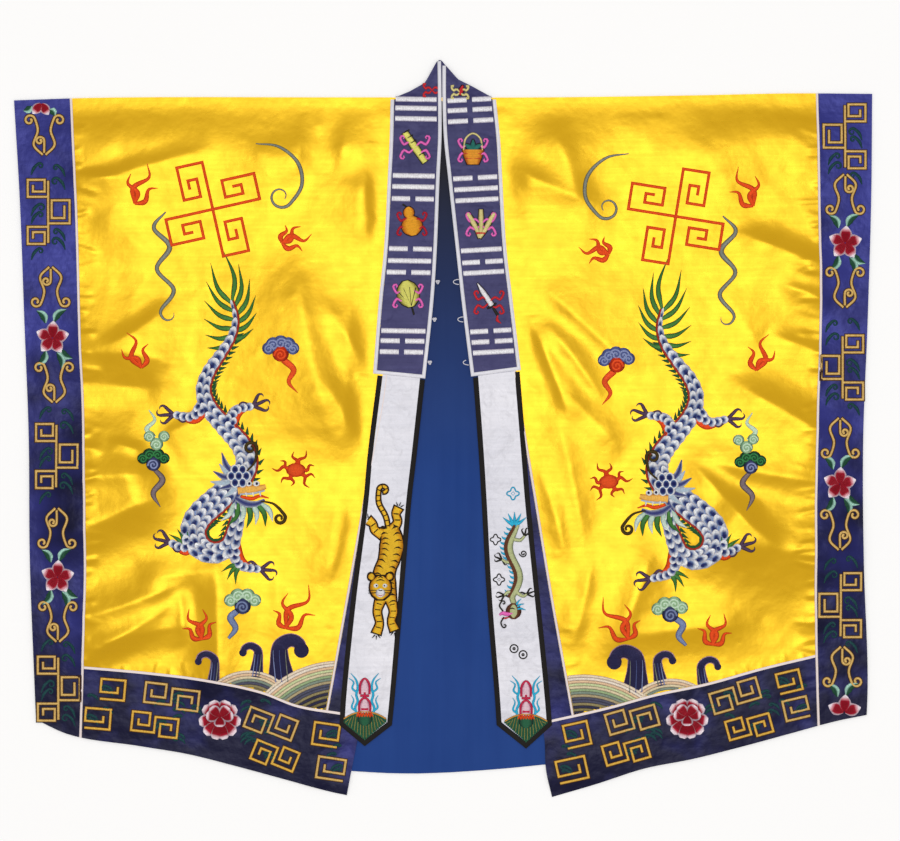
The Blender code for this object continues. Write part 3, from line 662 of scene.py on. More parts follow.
# The collar. Two halves of navy satin over a stiff interlining, folded at the neck so that they stand up to a
# low peak, each bound down both edges and round its end with a white satin binding.
COLLAR_WALL = 0.0022
COLLAR_PIPING = 0.007
NECK_WALL = 0.0027
NECK_FOLD_BASE = NECK_WALL + GAP
UPPER_BASE = FRONT_BASE + FRONT_WALL + GAP
PEAK = Point(-0.007, 0.737)
LEFT.collar_end_points = [Point(-0.140, 0.110), Point(-0.035, 0.100)]
RIGHT.collar_end_points = [Point(0.056, 0.104), Point(0.157, 0.117)]
LEFT.neck_fold_points = [Point(-0.104, 0.6575), Point(-0.095, 0.6580), Point(-0.0646, 0.6750),
                         Point(-0.036, 0.691), Point(-0.0128, 0.7330), PEAK]
RIGHT.neck_fold_points = [Point(-0.002, 0.7350), Point(0.0016, 0.7302), Point(0.030, 0.6980),
                          Point(0.062, 0.682), Point(0.098, 0.6580), Point(0.106, 0.6575)]


def straight_line(table):
    """Straight runs through a few points, as y for a given x, going on past both ends."""
    rows = sorted(table)
    xs, ys = np.array(rows).T

    def value_at(x):
        i = np.clip(np.searchsorted(xs, x) - 1, 0, len(xs) - 2)
        return ys[i] + (ys[i + 1] - ys[i]) * (x - xs[i]) / (xs[i + 1] - xs[i])

    return value_at


def trim_strip(name, path, width, height, wall, finish, crown, columns=4):
    """A narrow strip of one width along a path, lying inwards (to the left) of it, mitred at corners."""
    points = [Vector((float(p[0]), float(p[1]))) for p in path]
    last = len(points) - 1
    form = bmesh.new()
    across = form.verts.layers.float.new("across")
    bmesh.ops.create_grid(form, x_segments=columns, y_segments=last, size=1.0)
    spots = []
    for vert in form.verts:
        i = round((vert.co.y + 1.0) / 2 * last)
        before = (points[i] - points[i - 1]).normalized() if i else None
        after = (points[i + 1] - points[i]).normalized() if i < last else None
        before, after = before or after, after or before
        aside = Vector((-before.y - after.y, before.x + after.x)).normalized()
        square = Vector((-after.y, after.x))
        reach = width / max(aside.dot(square), 0.2)
        spots.append(points[i] + aside * (reach * (vert.co.x + 1.0) / 2))
    x, y = np.array(spots).T
    for vert, place in zip(form.verts, np.stack([x, y, height(x, y)], axis=1)):
        vert[across] = vert.co.x
        vert.co = place
    give_wall(form, wall, crown)
    return add_piece(form, f"{name}_cloth", finish, (name,))


def run_along(line, start, end, step=0.008):
    """Points on an edge that gives x for y, evenly from one height to another."""
    return [(line(y), y) for y in np.linspace(start, end, ceil(abs(end - start) / step) + 1)]


for side in HALVES:
    side.collar_end = straight_line(side.collar_end_points)
    side.neck_fold = straight_line(side.neck_fold_points)

    def collar_laid(x, y, side=side):
        below_fold = side.neck_fold(x) - y
        return NECK_FOLD_BASE + (UPPER_BASE - NECK_FOLD_BASE) * smooth_step(below_fold / SHOULDER_FALL)

    side.collar_laid = collar_laid
    inset = COLLAR_PIPING + GAP
    collar = cloth_panel(f"collar_{side.name}",
                         (side.out(side.collar_outer, -inset), side.out(side.collar_inner, inset),
                          side.neck_fold, moved(side.collar_end, inset)),
                         0.005, side.collar_laid, COLLAR_WALL, COLLAR_NAVY)
    outer_end, inner_end = side.collar_end_points[::side.outwards * -1]
    top_outer = side.neck_fold(side.collar_outer(PEAK.y))
    top_inner = side.neck_fold(side.collar_inner(PEAK.y) + side.outwards * COLLAR_PIPING)
    path = (run_along(side.collar_outer, top_outer, outer_end.y)
            + run_along(side.collar_inner, inner_end.y, top_inner))
    trim_strip(f"collar_piping_{side.name}", path if side is LEFT else path[::-1], COLLAR_PIPING,
               side.collar_laid, COLLAR_WALL, WHITE, crown=0.0009)


# The streamers. Long flat strips of white satin that hang from the collar's ends and finish in a point, bound
# in black all round. They lie on the fronts and slip down onto the lining at their lower inner edges.
STREAMER_WALL = 0.0013
STREAMER_HANG_BASE = LINING_BASE + LINING_WALL + 0.0004
STREAMER_HANG_START = 0.018
STREAMER_HANG_END = 0.048
BINDING = 0.010
BINDING_CUT_BACK = 0.0025
BINDING_CROWN = 0.0007
LEFT.tip = Point(-0.1564, -0.635)
RIGHT.tip = Point(0.1660, -0.6400)
# Like the lining, its colour is painted a little darker towards the neck as shade.
BLACK = plain_weave("black_binding", dyed("24201e"), dyed("141210"), dyed("141210"))
for side in HALVES:
    def streamer_laid(x, y, side=side):
        past_edge = -side.beyond(x, side.opening(y))
        hang = smooth_step((past_edge - STREAMER_HANG_START) / (STREAMER_HANG_END - STREAMER_HANG_START))
        return UPPER_BASE + (STREAMER_HANG_BASE - UPPER_BASE) * hang

    side.streamer_laid = streamer_laid
    corner_y = STREAMERS[-1].y
    outer_corner = Point(side.streamer_outer(corner_y), corner_y)
    inner_corner = Point(side.streamer_inner(corner_y), corner_y)
    inset = BINDING + GAP
    tip_inset = inset * hypot(1.0, (corner_y - side.tip.y) / abs(side.tip.x - outer_corner.x))
    top = moved(side.collar_end, -GAP)
    streamer = cloth_panel(f"streamer_{side.name}",
                           (side.out(side.streamer_outer, -inset), side.out(side.streamer_inner, inset), top,
                            moved(straight_line([outer_corner, side.tip, inner_corner]), tip_inset)),
                           0.005, side.streamer_laid, STREAMER_WALL, WHITE)
    outer_top = top(side.streamer_outer(STREAMERS[0].y)) - BINDING_CUT_BACK
    inner_top = top(side.streamer_inner(STREAMERS[0].y)) - BINDING_CUT_BACK
    path = (run_along(side.streamer_outer, outer_top, corner_y) + [tuple(side.tip)]
            + run_along(side.streamer_inner, corner_y, inner_top))
    trim_strip(f"streamer_binding_{side.name}", path if side is LEFT else path[::-1], BINDING,
               side.streamer_laid, STREAMER_WALL, BLACK, crown=BINDING_CROWN)


# The knots and loops. White satin cord, tied in three round knots on one collar half and sewn as three open
# loops on the other. Their ends are caught under the binding of the collar's inner edge.
FASTENER_HEIGHTS = (0.293, 0.218, 0.132)
KNOT_LENGTH = 0.011
KNOT_HEIGHT = 0.005
KNOT_SCALE = 0.00125
KNOT_CORD = 0.0022
LOOP_REACH = 0.011
LOOP_WIDTH = 0.010
LOOP_CORD = 0.0018


def round_cord(name, path, thickness, node):
    """A round cord through some spots, closed at both ends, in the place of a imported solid."""
    spots = [Vector(spot) for spot in path]
    last = len(spots) - 1
    form = bmesh.new()
    bmesh.ops.create_grid(form, x_segments=8, y_segments=last, size=1.0)
    for vert in form.verts:
        i = round((vert.co.y + 1.0) / 2 * last)
        turn = pi * vert.co.x
        ahead = (spots[min(i + 1, last)] - spots[max(i - 1, 0)]).normalized()
        aside = ahead.cross(Vector((0.0, 0.0, 1.0))).normalized()
        vert.co = spots[i] + (aside * cos(turn) + aside.cross(ahead) * sin(turn)) * thickness / 2
    bmesh.ops.remove_doubles(form, verts=form.verts[:], dist=thickness * 0.02)
    bmesh.ops.holes_fill(form, edges=[edge for edge in form.edges if edge.is_boundary], sides=0)
    return add_piece(form, name, WHITE, (node,))


for number, height in enumerate(FASTENER_HEIGHTS, 1):
    middle_x = LEFT.collar_inner(height) + GAP + KNOT_LENGTH / 2
    turns = np.linspace(0.0, 2 * pi, 49)[:-1]
    knot = [(middle_x + KNOT_SCALE * (sin(t) + 2 * sin(2 * t)),
             height + KNOT_SCALE * (cos(t) - 2 * cos(2 * t)),
             UPPER_BASE + KNOT_HEIGHT / 2 - KNOT_CORD / 2 * sin(3 * t)) for t in turns]
    round_cord(f"knot_button_{number}_cord", knot, KNOT_CORD, f"knot_button_{number}")
    start_x = RIGHT.collar_inner(height) - GAP - LOOP_CORD / 2
    curl = (0.0, 0.9, -0.5)[number - 1]
    bends = np.linspace(-pi / 2, pi / 2 + curl, 17)
    loop = [(start_x - LOOP_REACH * cos(t), height + LOOP_WIDTH / 2 * sin(t), UPPER_BASE + COLLAR_WALL / 2)
            for t in bends]
    round_cord(f"button_loop_{number}_cord", loop, LOOP_CORD, f"button_loop_{number}")


# The charms on the fronts. Machine embroidery in shiny rayon, each shape a row of satin stitches that run
# across it and pile into a low rounded ridge: a knotted key in red with two grey ribbons, and five small
# red flames. The drawings of all the embroidery are in millimetres.
MM = 0.001
THREAD_PITCH = 0.0005
THREAD_DEPTH = 0.00005
STITCH_SINK = 0.0004
STITCH_RISE = 0.00025
STITCH_DOME = 0.0006
STITCH_LAYER = 0.00035
SHAPE_LAYER = 0.2
RIM_FROM = 5.5


def rayon(name):
    """Rayon thread: the colour of each shape, a fine ridge for each stitch, small shifts between, and painted
    shade darkening each shape towards its edges.
    """
    finish = Finish(name, {"Metallic": 0.34, "Specular IOR Level": 0.22})
    colour = finish.node("ShaderNodeAttribute", {"attribute_name": "thread"}, {}, output=0)
    run = finish.node("ShaderNodeAttribute", {"attribute_name": "run"}, {}, output=1)
    along, across, seed = (finish.node("ShaderNodeSeparateXYZ", {}, {0: run}, output=part)
                           for part in range(3))
    count = along * (1 / THREAD_PITCH)
    number = count.worked("FLOOR", count) + seed * 7.3
    tone = finish.node("ShaderNodeTexWhiteNoise", {"noise_dimensions": "1D"}, {"W": number})
    ridge = count.worked("SINE", count * (2 * pi))
    wear = finish.cloud(finish.place(), 60.0, 2.0)
    grain = finish.cloud(finish.place(), 330.0, 2.0, 0.6)
    deep = finish.blend(1.0, colour, dyed("948898"), "MULTIPLY")
    # Painted shade: each shape darkens towards its edges, where its raised stitches slope away.
    edge = (across * across) ** 2.0
    finish.use(finish.blend(tone * 0.3 + wear * 0.3 + grain * 1.2 + edge * 0.8 - 0.85, colour, deep),
               0.34 + (tone - 0.5) * 0.2, ridge * THREAD_DEPTH + wear * 0.0001 + grain * 0.0001)
    return finish


RAYON = rayon("embroidery_thread")


def cloth_under(*pieces):
    """Some cloth pieces as one surface, to find the place on it under a point."""
    form = bmesh.new()
    for name in pieces:
        form.from_mesh(bpy.data.objects[f"{name}_cloth"].data)
    surface = BVHTree.FromBMesh(form)
    form.free()
    return surface


class Needlework:
    """One embroidered piece. Its shapes are stitched flat one by one, then laid together on the cloth."""

    def __init__(self, name, cloth, place=None):
        self.name = name
        self.cloth = cloth
        self.place = place or np.asarray
        self.form = bmesh.new()
        layers = self.form.verts.layers
        self.thread = layers.float_color.new("thread")
        self.run = layers.float_vector.new("run")
        self.top = layers.float.new("top")
        self.shapes = 0

    def stitch(self, path, width, tint, layer=0, columns=2, tilt=0.0):
        """A shape along a path. Its width is a function of the share of the way, a number or a list."""
        spots = np.asarray(path, dtype=float)
        steps = np.diff(spots, axis=0)
        lengths = np.hypot(*steps.T)
        way = np.concatenate([[0.0], np.cumsum(lengths)])
        share = way / way[-1]
        square = np.stack([-steps[:, 1], steps[:, 0]], axis=1) / lengths[:, None]
        aside = np.concatenate([square[:1], square[:-1] + square[1:], square[-1:]])
        aside /= np.maximum(np.hypot(*aside.T), 1e-9)[:, None]
        aside /= np.maximum((aside * np.concatenate([square, square[-1:]])).sum(axis=1), 0.6)[:, None]
        along = np.linspace(0, 1, np.size(width))
        widths = width(share) if callable(width) else np.interp(share, along, np.ravel(width))
        made = bmesh.ops.create_grid(self.form, x_segments=columns, y_segments=len(spots) - 1,
                                     size=1.0)["verts"]
        plan = np.array([vert.co[:2] for vert in made])
        row = np.rint((plan[:, 1] + 1) / 2 * (len(spots) - 1)).astype(int)
        across = plan[:, 0]
        laid = self.place((spots[row] + aside[row] * (widths[row] * across / 2)[:, None]) * MM)
        colours = tint(share[row], across) if callable(tint) else np.tile(tint, (len(row), 1))
        dome = np.minimum(STITCH_DOME, 0.22 * MM * widths[row])
        dome = dome * np.sqrt(np.clip(1.0 - across ** 2, 0.0, 1.0))
        tops = STITCH_RISE + layer * STITCH_LAYER + dome + tilt * share[row]
        self.shapes += 1
        for vert, spot, colour, start, aslant, top in zip(made, laid, colours, way[row] * MM, across, tops):
            vert.co = (spot[0], spot[1], 0.0)
            vert[self.thread] = colour
            vert[self.run] = (start, aslant, self.shapes)
            vert[self.top] = top

    def figure(self, shapes, at=(0, 0), turn=0.0, size=1.0, flip=1, layer=0, rim=None):
        """Shapes about a point, turned, sized and mirrored as one. A rim is a width and a tint."""
        for number, (tint, widths, points) in enumerate(shapes):
            spots = turned(curve(points) * (size * flip, size), turn) + at
            outline = rim if max(widths) > RIM_FROM else None
            self.lined(spots, np.multiply(widths, size), tint, outline, layer + number * SHAPE_LAYER)

    def lined(self, spots, widths, tint, rim, level=0):
        """A shape with an outline, a wider flat shape just under it."""
        if rim:
            ends = spots[[0, -1]] - spots[[1, -2]]
            first, last = spots[[0, -1]] + ends / np.hypot(*ends.T)[:, None] * rim[0]
            self.stitch(np.vstack([first, spots, last]), np.add(widths, 2 * rim[0]), rim[1], level - 0.2,
                        columns=1)
        self.stitch(spots, widths, tint, level + 0.3, columns=4)

    def finish(self):
        """Gives the shapes their thickness, lays them on the cloth and adds the piece."""
        lifted = bmesh.ops.extrude_face_region(self.form, geom=self.form.faces[:])["geom"]
        down = Vector((0.0, 0.0, -1.0))
        raised = {item for item in lifted if isinstance(item, bmesh.types.BMVert)}
        for vert in self.form.verts:
            above = Vector((vert.co.x, vert.co.y, 0.2))
            hit = self.cloth.ray_cast(above, down)[0]
            hit = hit or self.cloth.find_nearest(above - Vector((0.0, 0.0, 0.195)))[0]
            vert.co.z = hit.z + (vert[self.top] if vert in raised else -STITCH_SINK)
        return add_piece(self.form, self.name, RAYON)


def curve(points, step=3.0):
    """A smooth line through a few points, as evenly spaced spots."""
    points = np.asarray(points, dtype=float)
    ends = np.vstack([2 * points[0] - points[1], points, 2 * points[-1] - points[-2]])
    t = np.linspace(0.0, 1.0, 10)[:-1, None]
    fine = [((2 * b) + (c - a) * t + (2 * a - 5 * b + 4 * c - d) * t ** 2
             + (3 * b - a - 3 * c + d) * t ** 3) / 2
            for a, b, c, d in zip(ends, ends[1:], ends[2:], ends[3:])]
    return even(np.vstack(fine + [points[-1:]]), step)


def even(line, step):
    """The same line as evenly spaced spots."""
    line = np.asarray(line, dtype=float)
    way = np.concatenate([[0.0], np.cumsum(np.hypot(*np.diff(line, axis=0).T))])
    places = np.linspace(0.0, way[-1], max(3, ceil(way[-1] / step)) + 1)
    return np.stack([np.interp(places, way, line[:, axis]) for axis in (0, 1)], axis=1)


def cornered(points, step=8.0):
    """Straight runs with sharp corners, with spots along each run."""
    line = [points[0]]
    for start, end in zip(np.asarray(points, dtype=float), np.asarray(points[1:], dtype=float)):
        parts = max(1, round(hypot(*(end - start)) / step))
        line += [start + (end - start) * part / parts for part in range(1, parts + 1)]
    return np.array(line, dtype=float)


def turned(spots, angle):
    """Spots turned about the middle of their drawing."""
    spots = np.asarray(spots, dtype=float)
    return spots @ np.array([[cos(angle), sin(angle)], [-sin(angle), cos(angle)]])


def curled(points, radius, hand, turns=1.2, tight=0.3):
    """A line whose end winds into a curl, to its left for a hand of 1 and to its right for -1."""
    (before_x, before_y), (end_x, end_y) = points[-2:]
    heading = atan2(end_y - before_y, end_x - before_x)
    middle = np.array([end_x - hand * radius * sin(heading), end_y + hand * radius * cos(heading)])
    steps = np.arange(1, ceil(turns * 8) + 1) / 8
    angles = heading - hand * pi / 2 + hand * 2 * pi * steps
    reach = radius * (1.0 - (1.0 - tight) * steps / steps[-1])
    return list(points) + list(middle + reach[:, None] * np.stack([np.cos(angles), np.sin(angles)], axis=1))


def edged(core, rim, reach=0.35):
    """A thread colour in the middle of a shape and another along both its edges. Where the edge colour is
    darker, as for most threads here, it is painted shade on the sloping edges of the raised stitches.
    """
    def tint(share, across):
        mix = smooth_step((np.abs(across) - reach) / (1.0 - reach))[:, None]
        return (1.0 - mix) * np.array(core) + mix * np.array(rim)
    return tint


def fading(first, last, rim=None):
    """A thread colour that turns into another along the shape, with an optional rim, which where darker is
    painted shade on the shape's edges.
    """
    def tint(share, across):
        colours = (1.0 - share[:, None]) * np.array(first) + share[:, None] * np.array(last)
        if rim is None:
            return colours
        mix = smooth_step(np.abs(across) * 1.4 - 0.4)[:, None]
        return (1.0 - mix) * colours + mix * np.array(rim)
    return tint


def rounded(core, rim, reach=0.6):
    """A thread colour in the middle of a round shape and another all round its edge, which where darker is
    painted shade.
    """
    def tint(share, across):
        along = 2 * share - 1.0
        away = np.sqrt(along ** 2 + (1.0 - along ** 2) * across ** 2)
        mix = smooth_step((away - reach) / (1.0 - reach))[:, None]
        return (1.0 - mix) * np.array(core) + mix * np.array(rim)
    return tint


def oval(width):
    """The widths of a rounded shape, along its length."""
    return lambda share: np.maximum(
        width * np.sqrt(np.clip(1.0 - (2 * share - 1.0) ** 2, 0.0, 1.0)), width * 0.08)


FIRE = edged(dyed("ff5418"), dyed("cc3a0c"))
FIRE_TIP = fading(dyed("ff4a14"), dyed("b4380c"), dyed("cc3a0c"))
RIBBON_GREY = edged(dyed("949a94"), dyed("6e6c44"))
# One arm of the bent cross, which is turned by quarters about its middle
KEY_ARM = [(0, 0), (0, 96), (-52, 96), (-52, 30), (-18, 30), (-18, 66), (-36, 66), (-36, 48)]
KEY_TILT = 0.22
KEY_PLACE = (-34, 441)
KEY_LINE = 5.8
# Each ribbon: its widths along the way, and its way on the cloth
RIBBONS = [
    ((2, 6, 8, 8, 7, 5, 2),
     curled([(52, 572), (98, 566), (136, 534), (144, 490), (122, 454)], 24, -1, 0.9, 0.4)),
    ((3, 8, 10, 11, 9, 8, 9, 8, 5, 1),
     curled([(-128, 436), (-152, 404), (-120, 366), (-146, 322), (-112, 280), (-136, 242)], 18, 1, 0.6, 0.5)),
]
# Each flame: its root, its heading and how long its tongues are
Flame = namedtuple("Flame", "x y heading lengths")
FLAMES = [Flame(*row) for row in (
    (-190, 452, 1.2, (56, 84, 60)), (104, 374, 0.5, (44, 62, 50, 36)), (-176, 124, 1.9, (50, 76, 54)),
    (-56, -418, 1.75, (46, 60, 66, 44)), (112, -396, 1.3, (64, 98, 70, 44)))]
TONGUE_SPREAD = 0.55


def fire_fan(work, flame):
    """Tongues that fan out from one root, each bent the other way from the one before it."""
    for number, length in enumerate(flame.lengths):
        way = flame.heading + TONGUE_SPREAD * (number - (len(flame.lengths) - 1) / 2)
        out = np.array([cos(way), sin(way)])
        hook = np.array([-sin(way), cos(way)]) * length * (0.16 if number % 2 else -0.16)
        points = [(0, 0), out * length * 0.35 + hook, out * length * 0.7 - hook * 0.6,
                  out * length + hook * 0.4]
        work.stitch(curve(np.array(points) + (flame.x, flame.y)), (5, 11, 9, 5, 1), FIRE, 0.3 * number,
                    columns=4)


DRAWING_MIDDLE_X = -0.426
MIRROR_X = 0.454
RIGHT_PIVOT = np.array([0.444, 0.0])
RIGHT_TURN = radians(3.5)
RIGHT_SHIFT = np.array([0.004, -0.016])
LEFT.figure_place = lambda spots: spots + np.array([DRAWING_MIDDLE_X, -0.003])
RIGHT.figure_place = lambda spots: RIGHT_PIVOT + RIGHT_SHIFT + turned(
    np.stack([MIRROR_X - spots[:, 0], spots[:, 1] - 0.003], axis=1) - RIGHT_PIVOT, RIGHT_TURN)
for side in HALVES:
    side.cloth = cloth_under(*(f"{part}_{side.name}" for part in (
        "front", "side_band", "hem_band", "front_edge_strip", "piping_side", "piping_hem", "piping_edge")))
    charms = Needlework(f"charms_{side.name}", side.cloth, side.figure_place)
    for quarter in range(4):
        arm = turned(KEY_ARM, KEY_TILT + quarter * pi / 2)
        charms.stitch(cornered(arm) + KEY_PLACE, KEY_LINE, FIRE, layer=0.5 * (quarter % 2), columns=4)
    for widths, points in RIBBONS:
        charms.stitch(curve(points, 5.0), widths, RIBBON_GREY)
    for flame in FLAMES:
        fire_fan(charms, flame)
    charms.finish()


# The dragons. One on each front, the right one mirrored: a scaled body that bends from a leafy green tail
# down to the head, every scale its own little fan of stitches in navy, blue and white, with four clawed
# legs.
SCALE_NAVY = np.array(dyed("1a2060"))
SCALE_BLUE = np.array(dyed("6c8cc4"))
SCALE_WHITE = np.array(dyed("fcfeff"))
LEAF_GREEN = fading(dyed("5c9a4c"), dyed("2c6c2c"), dyed("24581c"))
PALE_MINT = fading(dyed("c8e8cc"), dyed("f4faf4"), dyed("9cccc4"))
BELLY_RED = edged(dyed("c43a24"), dyed("7c2024"))
SPIKE_GREEN = dyed("245c30")
CLAW_BROWN = edged(dyed("5c4460"), dyed("1c141c"))
MANE_NAVY = edged(dyed("2a3078"), dyed("dce8f0"))
MANE_GREY = edged(dyed("b4c8d8"), dyed("eef6f8"))
MANE_DARK = edged(dyed("24244c"), dyed("14142c"))
DARK_BROWN = edged(dyed("4a3a10"), dyed("2c2208"))
PEACH = edged(dyed("fcc25a"), dyed("f49a3c"))
WHITE_THREAD = dyed("f8fafa")


def scale_tint(share, across):
    """Navy at the root of a scale, blue around it and white at its free edge."""
    spread = 0.62 * across ** 2 + 0.95 * share ** 2
    to_blue = smooth_step((spread - 0.20) / 0.22)[:, None]
    to_white = smooth_step((spread - 0.44) / 0.16)[:, None]
    colours = (1 - to_blue) * SCALE_NAVY + to_blue * SCALE_BLUE
    return (1 - to_white) * colours + to_white * SCALE_WHITE


def one_scale(work, middle, ahead, length, width, layer):
    """A scale whose root points ahead and whose free edge lies back, a little raised."""
    root, free = middle + ahead * length / 2, middle - ahead * length / 2
    spots = root + (free - root) * (1.0 - np.cos(np.linspace(0.0, pi, 7)))[:, None] / 2
    work.stitch(spots, oval(width), scale_tint, layer, columns=6, tilt=0.0007)


BELLY_LINE = 4.8
SPIKE_PITCH = 12.0


def scaled(work, points, widths, pitch, belly=True, layer=1):
    """A scaled limb or body: a pale base, one to three columns of scales, a red line down one side."""
    spots = curve(points, 4.0)
    way = np.concatenate([[0.0], np.cumsum(np.hypot(*np.diff(spots, axis=0).T))])
    ahead = np.gradient(spots, axis=0)
    ahead /= np.hypot(*ahead.T)[:, None]
    square = np.stack([-ahead[:, 1], ahead[:, 0]], axis=1)
    wide = np.interp(way / way[-1], np.linspace(0.0, 1.0, len(widths)), widths)
    work.stitch(spots, widths, edged(SCALE_BLUE, SCALE_WHITE), 0, columns=4)
    line = 4.0 if belly else 0.0
    place = pitch / 2
    while place < way[-1] - pitch / 3:
        here = [np.interp(place, way, values) for values in (*spots.T, *ahead.T, *square.T, wide)]
        middle, heading, side_way = np.array(here[0:2]), np.array(here[2:4]), np.array(here[4:6])
        room = here[6] - line
        columns = 1 if room < 23 else 2 if room < 41 else 3
        for column in range(columns):
            offset = room * ((column + 0.5) / columns - 0.5) - line / 2
            shift = pitch * 0.22 * (column - (columns - 1) / 2)
            one_scale(work, middle + side_way * offset + heading * shift, heading, pitch * 1.32,
                      min(room / columns * 1.16, pitch * 1.5), layer)
        place += pitch
    if belly:
        work.stitch(spots + square * (wide / 2 - line / 2)[:, None], BELLY_LINE, BELLY_RED, 2)
        for place in np.arange(70, way[-1] - 30, SPIKE_PITCH):
            x, y, ahead_x, ahead_y, aside_x, aside_y, room = (
                np.interp(place, way, values) for values in (*spots.T, *ahead.T, *square.T, wide))
            base = np.array([x + aside_x * room / 2, y + aside_y * room / 2])
            tip = base + 11 * np.array([aside_x, aside_y]) - 12 * np.array([ahead_x, ahead_y])
            work.stitch([base, (base + tip) / 2, tip], (9, 5, 0.5), SPIKE_GREEN, 0)


def claw(work, wrist, heading, size=1.0, layer=1, thread=CLAW_BROWN):
    """A foot with three hooked talons ahead and one behind."""
    for angle, length, hook in ((0.85, 25, -0.9), (0.15, 30, -0.9), (-0.6, 27, 0.9), (2.6, 22, 0.9)):
        way = heading + angle
        first = np.array([cos(way), sin(way)]) * length * size
        second = first + np.array([cos(way + hook), sin(way + hook)]) * 7 * size
        third = second + np.array([cos(way + 2.2 * hook), sin(way + 2.2 * hook)]) * 6 * size
        points = np.array([(0.0, 0.0), first * 0.55, first, second, third]) + wrist
        work.stitch(curve(points, 2.5), np.multiply((7, 7.5, 7, 4.5, 0.8), size), thread, layer, columns=4)


def dragon_way():
    """The body's way from the tail: bends that widen downwards, then a loop that brings the neck up again."""
    share = np.linspace(0.0, 1.0, 13)
    bends = np.stack([(24 + 34 * share) * np.sin(3 * pi * share + 0.9) - 14, 258 - 430 * share], axis=1)
    return np.array(curled(list(bends), 44, 1, 0.55, 0.85) + [(16, -168), (20, -140)])


BODY = dragon_way()
BODY_WIDTHS = (8, 16, 22, 28, 33, 37, 41, 45, 50, 55, 54, 48, 40, 32, 28)
BODY_PITCH = 18.5
LEG_PITCH = 12.5
LEG_WIDTHS = (26, 20, 13)
UNDER_WIDTHS = (15, 13, 4)
# Each leg: its place as a share of the body's way, the hand that it is on, its reach and how far its knee
# bends
Leg = namedtuple("Leg", "share hand reach bend")
LEGS = [Leg(0.30, -1, 70, 12), Leg(0.38, 1, 68, -10), Leg(0.76, -1, 50, 12), Leg(0.87, -1, 78, -12)]
LEAF_WIDTHS = np.array((0.4, 0.85, 0.66, 0.36, 0.05))
TAIL_LEAVES = 12
HEAD_PLACE = np.array([24.0, -104.0])
# The snout about the head's place: its upper jaw, tongue, lower jaw and lip
HEAD = [
    (MANE_NAVY, (10, 15, 13, 7), [(-12, -32), (8, -43), (28, -44), (46, -36)]),
    (FIRE, (5, 8, 6, 2), [(-2, -29), (20, -33), (36, -28), (54, -32)]),
    (PEACH, (16, 19, 15, 9), [(-8, -18), (12, -15), (32, -13), (48, -9)]),
    (MANE_GREY, (3, 5, 3), [(-4, -24), (20, -23), (46, -17)]),
]
FANGS = (8, 22, 36)
WHISKERS = [
    curled([(32, -84), (50, -64), (54, -38)], 13, 1, 1.2),
    curled([(62, -142), (88, -148), (108, -168)], 12, -1, 1.2),
]
CREST_RING = 6


def leaf(work, root, way, length, width, hand):
    """A green leaf from a root, bent to one hand."""
    out = np.array([cos(way), sin(way)])
    aside = np.array([-sin(way), cos(way)]) * hand * length * 0.12
    work.stitch(curve([root, root + out * length * 0.45 + aside, root + out * length]), LEAF_WIDTHS * width,
                LEAF_GREEN, columns=4)


def fan_of_hair(work, roots, first, spread, lengths, widths, tints):
    """Strands that fan out from a row of roots, in turns of two tints."""
    for number, root in enumerate(roots):
        way = first + spread * number
        out = np.array([cos(way), sin(way)]) * lengths[number % len(lengths)]
        aside = np.array([-out[1], out[0]]) * 0.14
        work.stitch(curve([root, root + out * 0.5 + aside, root + out]), widths, tints[number % 2],
                    3 + number * 0.15, columns=4)


def disc(work, middle, across, tall, tint, layer=0, columns=6):
    """A round or oval shape about a point."""
    ends = 1.0 - np.cos(np.linspace(0.0, pi, 9))
    spots = np.stack([np.full(9, middle[0]), middle[1] - tall / 2 + tall * ends / 2], axis=1)
    work.stitch(spots, oval(across), tint, layer, columns=columns)


